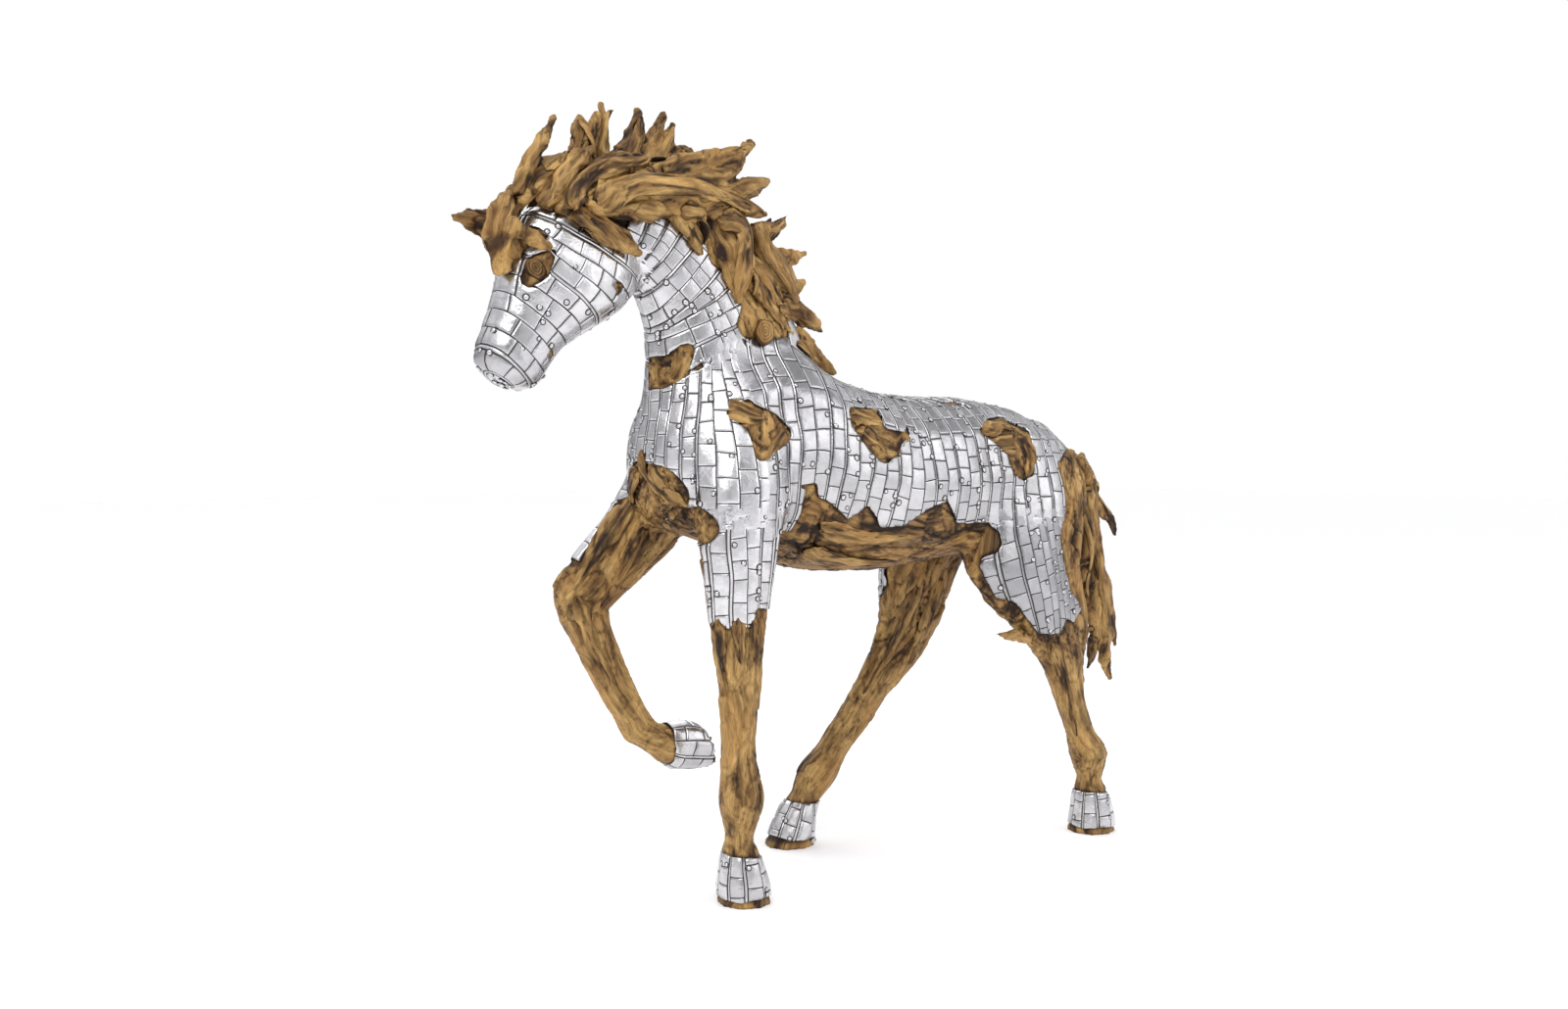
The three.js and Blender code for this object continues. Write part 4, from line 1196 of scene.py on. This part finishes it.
class Nodes:
    """Short ways to add and join shader nodes."""

    def __init__(self, tree):
        self.tree = tree

    def add(self, kind, values=None, **settings):
        """One node, with its settings and its input values or links."""
        node = self.tree.nodes.new("ShaderNode" + kind)
        for key, value in settings.items():
            setattr(node, key, value)
        self.fill(node, values or {})
        return node

    def fill(self, node, values):
        """Sets a node's inputs, or links those where the value is a socket."""
        for key, value in values.items():
            if isinstance(value, bpy.types.NodeSocket):
                self.tree.links.new(value, node.inputs[key])
            else:
                node.inputs[key].default_value = value

    def layer(self, name, kind="Fac"):
        """Reads a layer stored on the mesh."""
        return self.add("Attribute", attribute_name=name).outputs[kind]

    def noise(self, place, scale, detail=4.0, rough=0.55, kind="Fac"):
        """A noise over a place."""
        values = {"Vector": place, "Scale": scale, "Detail": detail, "Roughness": rough}
        return self.add("TexNoise", values).outputs[kind]

    def stretched(self, place, scale):
        """A place scaled by its own amount each way."""
        return self.add("Mapping", {"Vector": place, "Scale": scale}).outputs[0]

    def ramp(self, factor, stops):
        """Colours along a factor."""
        node = self.add("ValToRGB", {"Fac": factor})
        ramp = node.color_ramp
        while len(ramp.elements) < len(stops):
            ramp.elements.new(0.5)
        for element, (at, colour) in zip(ramp.elements, stops):
            element.position = at
            element.color = (*colour, 1)
        return node.outputs[0]

    def mix(self, factor, a, b):
        """Two colours mixed."""
        a, b = ((*k, 1) if isinstance(k, tuple) else k for k in (a, b))
        return self.add("Mix", {0: factor, 6: a, 7: b}, data_type="RGBA").outputs[2]

    def math(self, how, a, b=0.0):
        """Two numbers joined by one rule of arithmetic."""
        return self.add("Math", {0: a, 1: b}, operation=how).outputs[0]

    def spread(self, value, low, high, to_low=0.0, to_high=1.0):
        """A number moved from one range to another."""
        return self.add("MapRange", {0: value, 1: low, 2: high, 3: to_low, 4: to_high}).outputs[0]

    def bumps(self, *layers):
        """A normal roughened by several layers, each with its strength, its depth and its height."""
        normal = None
        for strength, depth, height in layers:
            values = {"Strength": strength, "Distance": depth, "Height": height}
            if normal:
                values["Normal"] = normal
            normal = self.add("Bump", values).outputs[0]
        return normal


def new_material(name):
    """A new material, its nodes and its shader."""
    material = bpy.data.materials.new(name)
    material.use_nodes = True
    return material, Nodes(material.node_tree), material.node_tree.nodes["Principled BSDF"]


PALER = 1.45  # the palest wood, as a multiple of the light wood
FIGURE_STOPS = (0.365, 0.438, 0.528, 0.605)  # where the figure is dark, middle, light and palest
AMBER = (0.25, 0.105, 0.024)  # of the warm patches in the wood
SMUDGED = (0.40, 0.39, 0.385)  # metal under a smudge
SHADED = (0.33, 0.325, 0.335)  # the darkest tiles, where random tone and painted shade add up


def wood_material(name, context):
    """Satin root wood: golden to brown streaks along the grain, knots, and painted shade in the hollows."""
    colours = context.scene.horse_colours
    light, mid, dark = tuple(colours.wood_light), tuple(colours.wood_mid), tuple(colours.wood_dark)
    material, n, shader = new_material(name)
    place = n.layer("grain", "Vector")
    tint = n.layer("tint")
    hollow_shade = n.layer("hollow_shade")
    bend = n.noise(place, 6.0, 3.0, kind="Color")
    bent = n.add("MixRGB", {"Fac": 0.05, "Color1": place, "Color2": bend}).outputs[0]
    mottles = n.noise(n.stretched(bent, (11, 34, 34)), 1.0, 4.0, 0.55)
    streaks = n.noise(n.stretched(bent, (7, 115, 115)), 1.0, 4.0, 0.6)
    fibres = n.noise(n.stretched(bent, (22, 330, 330)), 1.0, 4.0, 0.6)
    patches = n.noise(n.stretched(bent, (6, 13, 13)), 1.0, 2.0)
    figure = n.math("ADD", n.math("MULTIPLY", mottles, 0.40), n.math("MULTIPLY", streaks, 0.30))
    figure = n.math("ADD", figure, n.math("MULTIPLY", patches, 0.30))
    # The tint layer holds each piece's own tone, and on the body the painted shade under the belly.
    figure = n.math("ADD", figure, n.spread(tint, 0, 1, -0.045, 0.045))
    # Painted shade darkens the figure in the hollows.
    figure = n.math("SUBTRACT", figure, n.math("MULTIPLY", hollow_shade, 0.11))
    pale = tuple(min(1, k * PALER) for k in light)
    base = n.ramp(figure, list(zip(FIGURE_STOPS, (dark, mid, light, pale))))
    red = n.mix(n.spread(patches, 0.50, 0.66, 0, 0.5), base, AMBER)
    lined = n.mix(n.spread(fibres, 0.36, 0.58, 0.36, 0), red, dark)
    knots = n.add("TexVoronoi", {"Vector": n.stretched(bent, (5, 11, 11)), "Scale": 1.0}).outputs["Distance"]
    knotted = n.mix(n.spread(knots, 0.05, 0.16, 0.75, 0), lined, dark)
    # Painted shade: the hollows are darkened further towards the dark wood.
    worn = n.mix(n.math("MULTIPLY", hollow_shade, 0.80), knotted, tuple(k * 0.7 for k in dark))
    n.fill(shader, {"Base Color": worn, "Roughness": n.spread(streaks, 0.3, 0.7, 0.62, 0.42),
                    "Specular IOR Level": 0.22,
                    "Normal": n.bumps((0.55, 0.0012, fibres), (0.6, 0.004, streaks))})
    return material


def metal_material(name, context):
    """Bright beaten sheet: small dents, smudges, dark seams, tiles darkened at random and by painted shade,
    and painted shadow on the torn edges.
    """
    colours = context.scene.horse_colours
    material, n, shader = new_material(name)
    place = n.add("TexCoord").outputs["Object"]
    smudge = n.noise(place, 28.0, 5.0)
    dull = n.mix(n.spread(smudge, 0.45, 0.75, 0.0, 0.5), tuple(colours.metal), SMUDGED)
    # The tone layer darkens tiles at random, and as painted shade where the chart's shade and the worn nose
    # add to it.
    toned_and_shaded = n.mix(n.spread(n.layer("tone"), 0.3, 1.7, 0.0, 0.95), dull, SHADED)
    # The seam layer darkens the seams, and paints shadow on the turned-down torn edges.
    edge = n.math("MULTIPLY", n.spread(n.layer("seam"), 0.2, 0.65), 0.97)
    rough = n.math("MAXIMUM", n.spread(smudge, 0.3, 0.75, 0.20, 0.38), n.math("MULTIPLY", edge, 0.6))
    dents, pits = n.noise(place, 62.0, 3.0), n.noise(place, 340.0, 2.0)
    n.fill(shader, {"Base Color": n.mix(edge, toned_and_shaded, tuple(colours.seam)), "Metallic": 1.0,
                    "Roughness": rough, "Normal": n.bumps((0.35, 0.004, dents), (0.10, 0.0006, pits))})
    return material


def floor_material():
    """Plain pale floor."""
    material, n, shader = new_material("Pale floor")
    n.fill(shader, {"Base Color": (0.93, 0.93, 0.93, 1), "Roughness": 0.9, "Emission Color": (1, 1, 1, 1),
                    "Emission Strength": 0.12})
    return material


# Stage

FLOOR_SIZE = 60
CAMERA_PLACE = (-2.787, -3.3735, 1.1095)
CAMERA_TURN = 38.0  # degrees from looking along +Y towards +X
CAMERA_DIP = 2.045  # degrees below level
CAMERA_LENS = 37.8
LAMPS = [  # name, place, size, watts
    ("Key", (-3.0, -2.6, 4.6), 3.4, 100.0),
    ("Fill", (3.0, -4.2, 2.6), 4.0, 40.0),
    ("Back", (1.5, 4.0, 3.8), 3.4, 60.0),
]


WALLS = ((0.42, 0.32), (0.56, 0.97))  # where along the walls' noise they are this bright
CEILING = (0.1, 1.0, 0.85, 1.6)  # from this height to this one, the brightness goes from this to this
AIM = Vector((0, 0, 0.9))  # what the lamps point at


def light_the_studio(tree):
    """A white backdrop, and round the horse a soft studio of lighter and darker walls."""
    n = Nodes(tree)
    place = n.add("TexCoord").outputs["Generated"]
    walls = n.add("TexNoise", {"Vector": place, "Scale": 2.2, "Detail": 1.0}).outputs["Fac"]
    shades = n.ramp(walls, [(at, (shade, shade, shade * 1.03)) for at, shade in WALLS])
    height = n.add("SeparateXYZ", {0: place}).outputs[2]
    ceiling = n.spread(height, *CEILING)
    lit = n.add("VectorMath", {0: shades, "Scale": ceiling}, operation="SCALE").outputs[0]
    seen = n.add("LightPath").outputs["Is Camera Ray"]
    n.fill(tree.nodes["Background"], {0: n.mix(seen, lit, (1, 1, 1)), 1: 1.0})


class HORSE_OT_stage(bpy.types.Operator):
    """Sets up the floor, the lights and the camera"""

    bl_idname = "horse.stage"
    bl_label = "Stage"

    def execute(self, context):
        bpy.ops.mesh.primitive_plane_add(size=FLOOR_SIZE, location=(0, 0, 0))
        floor = context.object
        floor.name = "floor"
        floor.data.materials.append(floor_material())
        for name, place, size, watts in LAMPS:
            lamp = bpy.data.lights.new(name, "AREA")
            lamp.energy = watts
            lamp.size = size
            stand = new_object(name, lamp)
            stand.location = place
            stand.rotation_euler = (AIM - stand.location).to_track_quat("-Z", "Y").to_euler()
        world = bpy.data.worlds.new("Studio")
        context.scene.world = world
        world.use_nodes = True
        light_the_studio(world.node_tree)
        context.scene.view_settings.view_transform = "Standard"
        camera = new_object("Camera", bpy.data.cameras.new("Camera"))
        camera.data.lens = CAMERA_LENS
        camera.location = CAMERA_PLACE
        camera.rotation_euler = (math.radians(90 - CAMERA_DIP), 0, math.radians(-CAMERA_TURN))
        context.scene.camera = camera
        return {"FINISHED"}


class HORSE_PT_panel(bpy.types.Panel):
    """Lists the horse's makers in the sidebar"""

    bl_label = "Driftwood horse"
    bl_space_type = "VIEW_3D"
    bl_region_type = "UI"
    bl_category = "Horse"

    def draw(self, context):
        for group in (context.scene.horse_sizes, context.scene.horse_colours):
            for name in group.__annotations__:
                self.layout.prop(group, name)
        for maker in MAKERS:
            self.layout.operator(maker.bl_idname)


MAKERS = (HORSE_OT_wood_body, HORSE_OT_metal, HORSE_OT_carvings, HORSE_OT_mane, HORSE_OT_tail,
          HORSE_OT_blades, HORSE_OT_stage)
CLASSES = (HorseSizes, HorseColours, *MAKERS, HORSE_PT_panel)


def register():
    """Adds the classes and the scene's settings."""
    for kind in CLASSES:
        bpy.utils.register_class(kind)
    bpy.types.Scene.horse_sizes = PointerProperty(type=HorseSizes)
    bpy.types.Scene.horse_colours = PointerProperty(type=HorseColours)


def unregister():
    """Takes them away again."""
    del bpy.types.Scene.horse_sizes
    del bpy.types.Scene.horse_colours
    for kind in reversed(CLASSES):
        bpy.utils.unregister_class(kind)


def main():
    """Makes every piece."""
    register()
    bpy.ops.horse.wood_body()
    bpy.ops.horse.metal()
    bpy.ops.horse.carvings()
    bpy.ops.horse.mane()
    bpy.ops.horse.tail()
    bpy.ops.horse.blades()
    bpy.ops.horse.stage()


if __name__ == "__main__":
    main()
